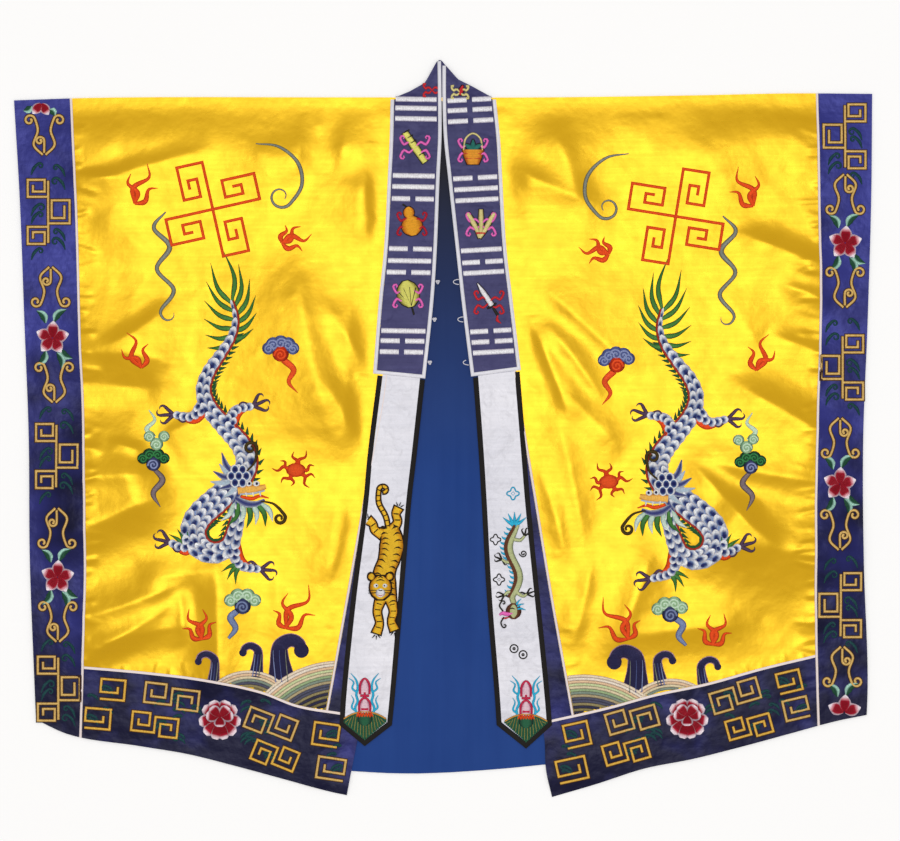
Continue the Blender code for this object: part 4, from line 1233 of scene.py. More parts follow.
for side in HALVES:
    dragon = Needlework(f"dragon_{side.name}", side.cloth, side.figure_place)
    way = curve(BODY, 4.0)
    tail = atan2(*(way[0] - way[5])[::-1])
    for number in range(TAIL_LEAVES):
        hand = 1 if number % 2 else -1
        leaf(dragon, way[2 * number], tail + hand * (0.10 + 0.13 * number), 100 - 5 * number, 13, hand)
    limbs = []
    for leg in LEGS:
        place = round(leg.share * (len(way) - 1))
        ahead = (way[place + 2] - way[place - 2]) / np.hypot(*(way[place + 2] - way[place - 2]))
        aside = np.array([-ahead[1], ahead[0]]) * leg.hand
        hip, knee = way[place] + aside * 10, way[place] + aside * leg.reach * 0.55 + ahead * leg.bend
        wrist = way[place] + aside * leg.reach - ahead * leg.bend * 0.6
        limbs.append((hip, knee, wrist))
        for turn in (-0.5, 0.0, 0.5) if leg.share > 0.5 else ():
            leaf(dragon, knee, atan2(*(-ahead)[::-1]) + turn, 40, 12, leg.hand)
        dragon.stitch(curve([hip + ahead * 14, knee + ahead * 9, wrist]), UNDER_WIDTHS, FIRE, 0.5, columns=4)
    scaled(dragon, BODY, BODY_WIDTHS, BODY_PITCH)
    for hip, knee, wrist in limbs:
        scaled(dragon, [wrist, knee, hip], LEG_WIDTHS[::-1], LEG_PITCH, belly=False, layer=2)
        claw(dragon, wrist, atan2(*(wrist - knee)[::-1]))
    crown = HEAD_PLACE + (-6, 12)
    fan_of_hair(dragon, [crown] * 7, 2.2, 0.38, (58, 46, 52), (8, 14, 11, 2), (MANE_NAVY, MANE_GREY))
    fan_of_hair(dragon, [HEAD_PLACE + (9 * place - 16, -42) for place in range(7)], -2.2, 0.2, (44, 50),
                (6, 12, 9, 1), (PALE_MINT, LEAF_GREEN))
    dragon.figure(HEAD, HEAD_PLACE, layer=4.5)
    for x in FANGS:
        dragon.stitch([HEAD_PLACE + (x, -21), HEAD_PLACE + (x + 1, -25), HEAD_PLACE + (x + 2, -29)],
                      (4, 3, 0.6), WHITE_THREAD, 7)
    disc(dragon, crown, 40, 34, MANE_DARK, 6.6)
    for number in range(CREST_RING + 1):
        turn = 2 * pi * number / CREST_RING
        reach = 15.0 if number < CREST_RING else 0.0
        spot = crown + (reach * cos(turn), reach * sin(turn))
        disc(dragon, spot, 20, 20, WHITE_THREAD, 7.2 + number * 0.25)
        disc(dragon, spot, 16, 16, rounded(SCALE_NAVY, SCALE_BLUE, 0.5), 7.6 + number * 0.25)
    for x in (14, 29):
        disc(dragon, HEAD_PLACE + (x, -3), 14, 11, WHITE_THREAD, 7.5)
        disc(dragon, HEAD_PLACE + (x + 1, -3), 6, 6, MANE_DARK, 8.5)
    for points in WHISKERS:
        dragon.stitch(curve(points), (3, 4, 6, 7, 7, 6, 4), DARK_BROWN, 7, columns=4)
    dragon.finish()


# The sky and the sea. Little clouds of coiled stitches around each dragon, a red sun with wavy rays, and
# below it navy waves that break over mounds stitched in rings from cream through pale green to grey and
# gold.
SUN_MIDDLE = np.array([132.0, -80.0])
SUN_RAYS = 9
VIOLET_GREY = edged(dyed("9aa6d0"), dyed("6c78ac"))
VIOLET_DEEP = edged(dyed("58649c"), dyed("444e80"))
CLOUD_RED = edged(dyed("ff5c24"), dyed("e8400c"))
DEEP_RED = edged(dyed("d8380c"), dyed("b02808"))
CLOUD_MINT = edged(dyed("d8f2d4"), dyed("b4dcb8"))
MINT_DEEP = edged(dyed("a4cc9c"), dyed("74a884"))
CLOUD_GREEN = edged(dyed("3c9450"), dyed("206038"))
GREEN_DEEP = edged(dyed("1c4c2c"), dyed("143420"))
CLOUD_BLUE = edged(dyed("8494bc"), dyed("58648c"))
BLUE_DEEP = edged(dyed("3c4470"), dyed("24284c"))
STEM_BROWN = edged(dyed("8c7c80"), dyed("4c3c3c"))
WAVE_NAVY = edged(dyed("28264e"), dyed("3a3058"), 0.5)
WAVE_RIM = (1.6, dyed("c8a0b4"))
# Each cloud: its core, how many lobes arch over it, their size, their two threads and the core's two threads
Cloud = namedtuple("Cloud", "x y lobes size thread ground core under")
CLOUDS = [Cloud(*row) for row in (
    (102, 158, 5, 15, VIOLET_GREY, VIOLET_DEEP, CLOUD_RED, DEEP_RED),
    (-152, -62, 4, 13, CLOUD_GREEN, GREEN_DEEP, VIOLET_GREY, BLUE_DEEP),
    (-146, -22, 2, 12, CLOUD_MINT, MINT_DEEP, CLOUD_MINT, MINT_DEEP),
    (26, -346, 4, 15, CLOUD_MINT, MINT_DEEP, CLOUD_BLUE, BLUE_DEEP))]
CloudLobe = namedtuple("CloudLobe", "x y radius thread ground")
STEMS = [
    (CLOUD_RED, (14, 12, 8, 1), [(108, 140), (128, 120), (118, 96), (136, 74)]),
    (CLOUD_MINT, (8, 10, 7, 2), [(-150, -14), (-166, 2), (-150, 20), (-162, 40)]),
    (STEM_BROWN, (8, 13, 11, 1), [(-150, -78), (-134, -100), (-152, -126), (-138, -154)]),
    (CLOUD_BLUE, (12, 14, 12, 6), [(20, -358), (2, -374), (12, -396), (-2, -416)]),
]
# Each wave: its foot, its height, the radius and hand of its curl, and its width
Wave = namedtuple("Wave", "x foot height radius hand width")
WAVES = [Wave(*row) for row in (
    (104, -506, 62, 26, -1, 56), (52, -494, 46, 18, 1, 28), (-34, -516, 50, 20, 1, 26))]
WAVE_TAPER = np.array((1.0, 0.66, 0.46, 0.36))
STREAK_TINTS = (VIOLET_GREY, VIOLET_DEEP, RIBBON_GREY)
RING_PITCH = 5.6
# Each sea mound: its middle, its outer radius and how many rings it has
Mound = namedtuple("Mound", "x y radius rings")
LARGE_MOUND = Mound(220, -672, 208, 24)
SMALL_MOUND = Mound(38, -584, 101, 12)
# Ring colours from the outside in, spread over a mound's rings
RING_COLOURS = [dyed(code) for code in (
    "fbe8cc", "fdf0dc", "f4d0a8", "d8e4ac", "ecdcb4", "a4bc8c", "8c9c8c", "bcac84",
    "56586c", "9c9064", "34344c", "8c8254", "30304c", "84784c", "2a2a44", "8c7c4c")]
RINGS_FADE = 1.5
SEAM_CLEAR = HALF_PIPING + 0.0006


def lobe_shape(work, lobe, hand, layer):
    """A cloud lobe: a round pad with a coil of raised stitches on it."""
    disc(work, (lobe.x, lobe.y), lobe.radius * 2, lobe.radius * 1.9, lobe.ground, layer)
    start = np.array([lobe.x - hand * lobe.radius * 0.76, lobe.y - lobe.radius * 0.12])
    coil = curled([start - (0.0, 2.0), start], lobe.radius * 0.74, -hand, 1.6, 0.12)
    work.stitch(curve(coil, 2.5), lobe.radius * 0.30, lobe.thread, layer + 1.2)


def in_seams(side):
    """Places on the yellow satin: what would pass its lower or inner seam stops at it."""
    def place(spots):
        x, y = side.figure_place(spots).T
        y = np.maximum(y, side.hem_seam(x) + SEAM_CLEAR)
        inner = side.strip(y)
        x = inner + side.outwards * np.maximum(side.outwards * (x - inner), SEAM_CLEAR)
        return np.stack([x, y], axis=1)
    return place


def ring_runs(side, mound, radius, avoid):
    """The stretches of a mound's ring on the yellow satin, up to its seams and up to another mound."""
    angles = np.linspace(0.02, pi - 0.02, ceil(radius * pi / 5.0))
    spots = np.stack([mound.x + radius * np.cos(angles), mound.y + radius * np.sin(angles)], axis=1)
    x, y = side.figure_place(spots * MM).T
    inside = (y > side.hem_seam(x) + SEAM_CLEAR) & (side.beyond(x, side.strip(y)) > SEAM_CLEAR)
    if avoid:
        inside &= np.hypot(spots[:, 0] - avoid.x, spots[:, 1] - avoid.y) > avoid.radius - 2.0
    inside[:-1] |= inside[1:]
    inside[1:] |= inside[:-1]
    breaks = np.flatnonzero(np.diff(inside.astype(int))) + 1
    runs = zip(np.split(spots, breaks), np.split(inside, breaks))
    return [run for run, kept in runs if kept[0] and len(run) > 2]


for side in HALVES:
    sky = Needlework(f"sky_and_sea_{side.name}", side.cloth, in_seams(side))
    for number in range(SUN_RAYS):
        angle = 2 * pi * number / SUN_RAYS + 0.35
        reach = (24, 34, 28)[number % 3]
        out = np.array([cos(angle), sin(angle)])
        hook = np.array([-sin(angle), cos(angle)]) * (7 if number % 2 else -7)
        root = out * (14, 9) + SUN_MIDDLE
        sky.stitch(curve([root, root + out * reach * 0.3 + hook, root + out * reach * 0.65 - hook * 0.2,
                          root + out * reach + hook * 0.5]), (6, 7, 5, 1), FIRE_TIP, columns=4)
    disc(sky, SUN_MIDDLE, 40, 28, rounded(dyed("ff5c24"), dyed("d8380c")), 1)
    sky.figure(STEMS)
    for cloud in CLOUDS:
        for number in range(cloud.lobes):
            turn = pi * (number + 0.5) / cloud.lobes
            lobe = CloudLobe(cloud.x + 1.7 * cloud.size * cos(turn), cloud.y + 1.1 * cloud.size * sin(turn),
                             cloud.size * (0.82 + 0.2 * sin(turn)), cloud.thread, cloud.ground)
            lobe_shape(sky, lobe, 1 if number % 2 else -1, 1.5 + number * 0.15)
        lobe_shape(sky, CloudLobe(cloud.x, cloud.y - 6, cloud.size * 1.1, cloud.core, cloud.under), 1, 2.6)
    for number, wave in enumerate(WAVES):
        rise = [(wave.x, wave.foot), (wave.x + 5 * wave.hand, wave.foot + wave.height)]
        crest = curve(curled(rise, wave.radius, wave.hand, 0.5, 0.7))
        end = wave.width * WAVE_TAPER[-1] * 1.5
        disc(sky, crest[-1], end, end, WAVE_NAVY, 1.6)
        sky.lined(crest, WAVE_TAPER * wave.width, WAVE_NAVY, WAVE_RIM, number)
        for place, tint in enumerate(STREAK_TINTS):
            run = crest[:len(crest) // 2] + (0.22 * wave.width * (place - 1), 2.0)
            sky.stitch(run, (2.5, 2, 1), tint, 3.4)
    for mound, avoid, layer in ((SMALL_MOUND, LARGE_MOUND, 1.6), (LARGE_MOUND, None, 2.4)):
        for ring in range(mound.rings):
            place = min(ring / mound.rings * RINGS_FADE, 1.0) * (len(RING_COLOURS) - 1)
            colour = np.array(RING_COLOURS[round(place)])
            for run in ring_runs(side, mound, mound.radius - ring * RING_PITCH, avoid):
                # Each ring darkens at its edges: painted shade in the grooves between the raised rings.
                ring_tint_with_painted_shade = edged(colour, colour * (0.66, 0.60, 0.60, 1.0), 0.55)
                sky.stitch(run, RING_PITCH * 1.06, ring_tint_with_painted_shade, layer, columns=4)
    sky.finish()


# The keys and flowers on the bands. Gold rayon laid in scrolls and square keys over the navy, its edges in
# painted brown shadow, between pink and white peonies with green leaves and faint dark vines.
GOLD = edged(dyed("f4c250"), dyed("ac6c24"), 0.5)
OLD_GOLD = edged(dyed("e8c070"), dyed("9c7030"), 0.5)
GOLD_LINE = 5.2
# Painted shadow: a dark brown outline under each gold line.
GOLD_SHADOW_RIM = (1.4, dyed("40261c"))
VINE_GREEN = edged(dyed("184c48"), dyed("163448"))
VINE_WIDTHS = (2, 7, 6, 4, 2)
LEAF_DARK = np.array(dyed("1f5038"))
LEAF_EDGE = np.array(dyed("b4e8d4"))
CRIMSON = np.array(dyed("90001a"))
ROSE = np.array(dyed("e41444"))
PETAL_WHITE = np.array(dyed("fff4fc"))
SCROLL = [curled([(hand * 3, -42), (hand * 21, -22), (hand * 13, 6), (hand * 19, 30)], 11, -hand, 1.1, 0.3)
          for hand in (-1, 1)]
SCROLL.append(curled([(0, -38), (0, -14)], 9, 1, 1.2, 0.25))
VINES = [curled([(hand * 34, y), (hand * 29, y + 13), (hand * 20, y + 22)], radius, hand, 0.9)
         for hand, y, radius in ((1, 44, 8), (1, 70, 6), (-1, -8, 8), (-1, -24, 6), (1, -76, 8), (1, -58, 6),
                                 (-1, 74, 6), (-1, -96, 6))]
# Each leaf round a flower: its root, its tip and the hand of its pale edge
FLOWER_LEAVES = [((3, 28), (25, 50), 1), ((-12, 26), (-28, 48), -1), ((14, -18), (36, -36), -1),
                 ((8, -26), (16, -54), 1), ((-12, -22), (-27, -48), 1)]


def petal_tint(rim):
    """Crimson at a petal's root, rose along it and white round its rim, from a share of its reach."""
    def tint(share, across):
        spread = np.maximum(share ** 2.2, np.abs(across) ** 2.4)
        rose = smooth_step((spread - rim + 0.16) / 0.30)[:, None]
        white = smooth_step((spread - rim) / 0.22)[:, None]
        return (1 - white) * ((1 - rose) * CRIMSON + rose * ROSE) + white * PETAL_WHITE
    return tint


def leaf_tint(hand):
    """A dark green leaf with a pale edge on one hand."""
    def tint(share, across):
        mix = smooth_step((hand * across - 0.1) / 0.5)[:, None]
        return (1 - mix) * LEAF_DARK + mix * LEAF_EDGE
    return tint


POINTED = (0.3, 0.8, 1.05, 1.1, 0.95, 0.62, 0.1)
BROAD = (0.2, 0.5, 0.75, 0.92, 1.0, 0.98, 0.84, 0.45)


def flower(work, middle, petals=5, reach=34.0, start=0.25, keep=(-1.0, 1.0), leaves=FLOWER_LEAVES):
    """An open flower. Keep gives the lowest and highest petal directions, as sines, where it is cut."""
    middle = np.array(middle, dtype=float)
    for base, tip, hand in leaves:
        base, tip = np.array(base) * reach / 30, np.array(tip) * reach / 30
        if keep[0] <= tip[1] / hypot(*tip) <= keep[1]:
            bend = np.array([base[1] - tip[1], tip[0] - base[0]]) * 0.18 * hand
            work.stitch(curve([base, (base + tip) / 2 + bend, tip]) + middle, (3, 16, 13, 1), leaf_tint(hand),
                        columns=4)
    for petal in range(petals):
        angle = start + 2 * pi * petal / petals
        out = np.array([cos(angle), sin(angle)])
        if keep[0] <= out[1] <= keep[1]:
            work.stitch(even([middle + out, middle + out * reach], reach / 8),
                        np.multiply(POINTED, reach * 3.5 / petals), petal_tint(0.44),
                        1 + petal % 2 * 0.6, columns=6)


# Each lobe of a peony: its direction, reach and width, and where its root lies above the flower's middle
Lobe = namedtuple("Lobe", "angle reach width rise")
PEONY = [Lobe(*lobe) for lobe in (
    (0.5, 38, 26, 4), (2.64, 38, 26, 4), (1.15, 37, 28, 2), (2.0, 37, 28, 2), (-0.15, 42, 27, 0),
    (3.3, 42, 27, 0), (-0.75, 41, 26, -2), (3.9, 41, 26, -2), (-1.3, 38, 25, -4), (4.45, 38, 25, -4),
    (0.1, 27, 24, 4), (3.05, 27, 24, 4),
    (0.85, 26, 23, 4), (2.3, 26, 23, 4), (-1.57, 20, 24, 4))]


def peony(work, middle):
    """A full peony: wide frilled lobes all round, and smaller ones that close over the heart."""
    for number, lobe in enumerate(PEONY):
        root = np.array(middle) + (0, lobe.rise)
        tip = root + lobe.reach * np.array([cos(lobe.angle), sin(lobe.angle)])
        work.stitch(even([root, tip], lobe.reach / 8), np.multiply(BROAD, lobe.width), petal_tint(0.60),
                    1 + number * 0.35, columns=6)


def squared(width, height, gap=12.5):
    """A square spiral about its middle, from its outer end inwards."""
    left, right, low, high = -width / 2, width / 2, -height / 2, height / 2
    points = [(right, low), (left, low), (left, high), (right, high)]
    while right - left > 2.2 * gap and high - low > 1.6 * gap:
        low += gap
        points.append((right, low))
        left += gap
        points.append((left, low))
        high -= gap
        if high - low > 0.3 * gap:
            points.append((left, high))
        right -= gap
        if high - low > 0.5 * gap:
            points.append((right, high))
    return points


def key_group():
    """Three square spirals on an upright bar: two on one side and a larger one across from them."""
    lines = [[(0, -62), (0, 62)]]
    for x, y, width, height, flip in (
            (-24, 47, 34, 34, (1, 1)), (25, 0, 36, 46, (-1, 1)), (-24, -47, 34, 34, (1, -1))):
        spiral = np.array(squared(width, height, 10.5)[:-1]) * flip + (x, y)
        lines.append([(0, spiral[0][1]), *spiral])
    return lines


def draw_keys(work, lines, middle, turn=0.0, flip=(1, 1), thread=GOLD):
    """Straight-run ornaments, mirrored and turned about a point."""
    for points in lines:
        work.lined(cornered(turned(np.array(points) * flip, turn) + middle), GOLD_LINE, thread, GOLD_SHADOW_RIM)


LEFT.band_motifs = [("scroll up", 589), ("fret", 433), ("scroll down", 281), ("flower", 181),
                    ("scroll up", 94), ("fret", -55), ("scroll down", -201), ("flower", -297),
                    ("scroll up", -384), ("fret", -520)]
RIGHT.band_motifs = [("fret", 584), ("scroll down", 466), ("flower", 371), ("scroll up", 284), ("fret", 122),
                     ("scroll down", -21), ("flower", -111), ("scroll up", -200), ("fret", -353),
                     ("scroll down", -478)]
# Square keys on the hems: middle, width and height. Wide ones hold two spirals joined by a bar.
HemKey = namedtuple("HemKey", "x y width height")
LEFT.hem_keys = [HemKey(*key) for key in (
    (-660, -522, 48, 40), (-542, -536, 108, 46), (-690, -580, 50, 40), (-576, -592, 92, 44),
    (-344, -590, 98, 48), (-234, -612, 50, 44), (-336, -654, 88, 46), (-224, -680, 54, 42))]
RIGHT.hem_keys = [HemKey(*key) for key in (
    (268, -612, 48, 46), (378, -582, 100, 48), (258, -682, 58, 44), (366, -646, 88, 46),
    (584, -534, 98, 48), (612, -596, 88, 44), (692, -506, 46, 40), (706, -560, 48, 40))]
HEM_VINE_SIZE = (0.9, 0.5)
HEM_VINE_SHIFT = 30
HEM_VINE_CLEAR = 0.009
BAND_TOP = 0.652
BAND_VINE_CLEAR = 0.006
LEFT.peony = (-446, -580)
RIGHT.peony = (488, -578)
for side in HALVES:
    bands = Needlework(f"band_embroidery_{side.name}", side.cloth)
    for motif, y in side.band_motifs:
        middle = np.array([(float(side.edge(y * MM)) + float(side.seam(y * MM))) / 2 / MM, y])
        flip = np.array([-side.outwards, -1 if motif == "scroll down" else 1])
        if motif == "flower":
            flower(bands, middle)
        elif motif == "fret":
            draw_keys(bands, key_group(), middle, 0.0, flip, OLD_GOLD)
            for points in VINES:
                spots = curve(np.array(points) * flip) + middle
                x_at, y_at = spots.T * MM
                clear = min((y_at - side.hem(x_at)).min(), BAND_TOP - y_at.max(),
                            side.beyond(x_at, side.seam(y_at)).min(),
                            -side.beyond(x_at, side.edge(y_at)).max())
                if clear > BAND_VINE_CLEAR:
                    bands.stitch(spots, VINE_WIDTHS, VINE_GREEN)
        else:
            for points in SCROLL:
                bands.lined(curve(np.array(points) * flip) + middle, GOLD_LINE, OLD_GOLD, GOLD_SHADOW_RIM)
    if side is LEFT:
        leaves = [((-22, -6), (-40, -16), 1), ((18, -14), (30, -28), 1)]
        flower(bands, (-803, 650), reach=27, keep=(-1.0, -0.15), leaves=leaves)
    else:
        flower(bands, (802, -566), keep=(-0.1, 1.0))
    for number, key in enumerate(side.hem_keys):
        x = key.x * MM
        slope = atan2(float(side.hem_seam(x + 0.02) - side.hem_seam(x - 0.02)), 0.04)
        thread = OLD_GOLD if number % 3 == 1 else GOLD
        flip = np.array([1 if number % 2 else -1, 1])
        for points in VINES:
            spots = curve(np.array(points) * flip * HEM_VINE_SIZE) + (key.x + HEM_VINE_SHIFT * flip[0], key.y)
            x_at, y_at = spots.T * MM
            clear = min((y_at - side.hem(x_at)).min(), (side.hem_seam(x_at) - y_at).min(),
                        side.beyond(x_at, side.opening(y_at)).min(),
                        -side.beyond(x_at, side.seam(y_at)).max())
            if clear > HEM_VINE_CLEAR:
                bands.stitch(spots, VINE_WIDTHS, VINE_GREEN)
        if key.width < 70:
            draw_keys(bands, [squared(key.width, key.height, 14.0)[:-1]], (key.x, key.y), slope, flip, thread)
            continue
        spiral = np.array(squared(key.width * 0.38, key.height * 0.86, 13.0)[:-1])
        shift = np.array([key.width * 0.31, key.height * 0.07])
        first, other = spiral - shift * (1, -1), -spiral + shift * (1, -1)
        link = [first[0], (0.0, first[0][1]), (0.0, other[0][1]), other[0]]
        draw_keys(bands, [first, other, link], (key.x, key.y), slope, flip, thread)
    peony(bands, side.peony)
    bands.finish()


# The collar's embroidery. Eight groups of three white satin-stitched bars, some broken in the middle, and
# between them small emblems with ribbons: a flute, a gourd and a fan on one half, a basket, clappers and a
# sword.
BAR_WIDTH = 10.8
BAR_WHITE = edged(dyed("fbfafe"), dyed("c8c4dc"), 0.6)
BAR_BREAK = 11.0
PINK_RIBBON = edged(dyed("fc78cc"), dyed("dc48ac"))
RED_RIBBON = edged(dyed("dc2c34"), dyed("8c1c3c"))
DARK_RED = edged(dyed("c01c34"), dyed("801430"))
LIME = edged(dyed("f0ec78"), dyed("b4b048"), 0.62)
GOURD_ORANGE = edged(dyed("ffb02c"), dyed("f08418"), 0.6)
BASKET_ORANGE = edged(dyed("fca834"), dyed("d86c20"), 0.5)
EMBLEM_RIM = (1.5, dyed("281c18"))
STEEL = edged(dyed("fafafc"), dyed("c8c4cc"), 0.6)
NEAR_BLACK = edged(dyed("2c2a24"), dyed("1c1a18"))
TEAL_LEAF = edged(dyed("2a7a6c"), dyed("1f4c5c"))
PALE_GOLD = edged(dyed("eee298"), dyed("a8985c"))
# Bars from the shoulder down: height at their middle, and whether they are broken
LEFT.bars = [(658, False), (640, False), (619, False), (505, False), (483, False), (459, True), (359, True),
             (335, False), (312, True), (195, False), (175, True), (153, True)]
RIGHT.bars = [(657, True), (637, True), (615, True), (501, True), (479, False), (457, False), (357, False),
              (333, True), (312, False), (195, True), (174, True), (153, False)]
LEFT.bar_drop = -1.5
RIGHT.bar_drop = 4.5
BAR_CLEAR = 10.0
EMBLEM_SIZE = 1.35
THIN_RIBBON = (2, 3.6, 3.8, 3.4, 2)
ROUND = np.array((0.25, 0.75, 0.94, 1.0, 0.94, 0.75, 0.25))
BOW_SIZE = 0.85


def bow(tint, size=BOW_SIZE):
    """Four ribbon ends that wave out from behind an emblem and curl, two of them up and two down."""
    return [(tint, THIN_RIBBON, np.array(curled([(0, 0), (hand * 10, rise * 9), (hand * 19, rise * 5),
                                                 (hand * 25, rise * 14)], 4.5, hand * rise, 0.7, 0.5)) * size)
            for hand in (-1, 1) for rise in (-1, 1)]


FLUTE = bow(PINK_RIBBON) + [(LIME, (9, 11, 9), [(15, -22), (0, 0), (-15, 22)])] + [
    (NEAR_BLACK, (2, 2), [(10 * away - 4, 3 - 15 * away), (10 * away + 4, 8 - 15 * away)])
    for away in (-1.2, -0.7, -0.2, 1.0)]
GOURD = bow(DARK_RED) + [
    (NEAR_BLACK, (2, 3), [(-6, 24), (-14, 29)]),
    (GOURD_ORANGE, 16 * ROUND, [(-6, 25), (-5, 19), (-4, 13), (-3, 8)]),
    (GOURD_ORANGE, 31 * ROUND, [(-3, 11), (-1, 2), (1, -8), (3, -17)]),
]
FAN = bow(PINK_RIBBON) + [
    (NEAR_BLACK, (3, 3), [(5, -14), (9, -28)]),
    (LIME, 33 * ROUND, [(5, -16), (2, -4), (-1, 9), (-4, 22)]),
    *((NEAR_BLACK, (1.6, 1.6), [(5, -15), (5 + 26 * sin(turn), 26 * cos(turn) - 13)])
      for turn in (-0.8, -0.45, -0.1, 0.25)),
]
BASKET = bow(PINK_RIBBON) + [
    (PALE_GOLD, (2, 3, 3, 3, 2), [(-14, 0), (-11, 17), (0, 25), (11, 17), (14, 0)]),
    *((TEAL_LEAF, (3, 9, 6, 1), [(0, 1), (9 * sin(turn), 9 * cos(turn)), (18 * sin(turn), 16 * cos(turn))])
      for turn in (-0.9, 0.0, 0.9)),
    (BASKET_ORANGE, (17, 24, 29, 32), [(0, -21), (0, -13), (0, -6), (0, 1)]),
    *((RED_RIBBON, (1.6, 1.6), [(-half, y), (half, y)]) for half, y in ((13, -5), (11, -12))),
]
CLAPPERS = bow(PINK_RIBBON) + [
    (PALE_GOLD, (5, 7, 8, 6),
     [(-2, -20), (12 * sin(turn), 12 * cos(turn) - 18), (26 * sin(turn), 26 * cos(turn) - 16),
      (38 * sin(turn), 38 * cos(turn) - 16)]) for turn in (-0.55, 0.0, 0.55)]
CLAPPERS.append((RED_RIBBON, (4, 4), [(-7, -13), (6, -13)]))
SWORD = bow(RED_RIBBON) + [
    (STEEL, (8, 8, 7, 1), [(5, -6), (-2, 5), (-10, 17), (-17, 28)]),
    (NEAR_BLACK, (3, 4, 3), [(-3, -9), (4, -6), (11, -1)]),
    (NEAR_BLACK, (4, 5), [(6, -8), (13, -19)]),
    (RED_RIBBON, (2, 5, 1), [(13, -19), (12, -26), (18, -31)]),
]
TASSEL = bow(RED_RIBBON, 0.5)
LOTUS_STEM = bow(PALE_GOLD, 0.5) + [(RED_RIBBON, (3, 8, 2), [(0, -4), (2, 3), (4, 10)])]
LEFT.emblems = [(TASSEL, -22, 676), (FLUTE, -56, 562), (GOURD, -62, 409), (FAN, -70, 265)]
RIGHT.emblems = [(LOTUS_STEM, 34, 672), (BASKET, 60, 556), (CLAPPERS, 76, 408), (SWORD, 92, 252)]
for side in HALVES:
    collar_work = Needlework(f"collar_embroidery_{side.name}", cloth_under(f"collar_{side.name}"))
    for height, broken in side.bars:
        ends = [np.array([float(edge(height * MM)) / MM + hand * side.outwards * BAR_CLEAR, height])
                for edge, hand in ((side.collar_outer, -1), (side.collar_inner, 1))]
        ends.sort(key=lambda spot: spot[0])
        ends[0][1] -= side.bar_drop / 2
        ends[1][1] += side.bar_drop / 2
        step = (ends[1] - ends[0]) / np.hypot(*(ends[1] - ends[0]))
        middle = (ends[0] + ends[1]) / 2
        halves = ((ends[0], middle - step * BAR_BREAK / 2), (middle + step * BAR_BREAK / 2, ends[1]))
        for start, end in halves if broken else ((ends[0], ends[1]),):
            collar_work.stitch(cornered([start, end]), BAR_WIDTH, BAR_WHITE, columns=4)
    for shapes, x, y in side.emblems:
        collar_work.figure(shapes, (x, y), size=EMBLEM_SIZE, rim=EMBLEM_RIM)
    collar_work.finish()


# The streamers' embroidery. A climbing tiger with stripes and dark outlines on one, a small dragon among
# cloud outlines on the other, and at each point a pillar between blue flames on a green and gold mound.
TIGER = edged(dyed("ffcc30"), dyed("ffac14"), 0.7)
TIGER_DARK = dyed("2c1a06")
OUTLINE = (3.0, dyed("2c1a06"))
# The tiger: its body from the hips to the shoulders, its four legs with the way each foot points, and its
# tail
TIGER_BODY = [(8, 62), (14, 34), (9, 2), (-2, -34), (3, -84)]
TIGER_WIDTHS = (34, 46, 38, 44, 38)
TIGER_LEGS = [([(14, 56), (25, 74), (22, 90), (27, 102)], 1.2),
              ([(-6, 50), (-20, 58), (-24, 70), (-33, 78)], 2.4),
              ([(-8, -78), (-15, -104), (-11, -128), (-17, -148)], -1.6),
              ([(11, -78), (17, -104), (13, -124), (19, -142)], -1.5)]
TIGER_LEG_WIDTHS = (22, 15, 13, 18)
TIGER_TAIL = curled([(7, 56), (2, 84), (-12, 112), (-12, 138)], 9, -1, 0.7, 0.5)
TIGER_HEAD = np.array([-9.0, -56.0])
STRIPE_PITCH = 13.0


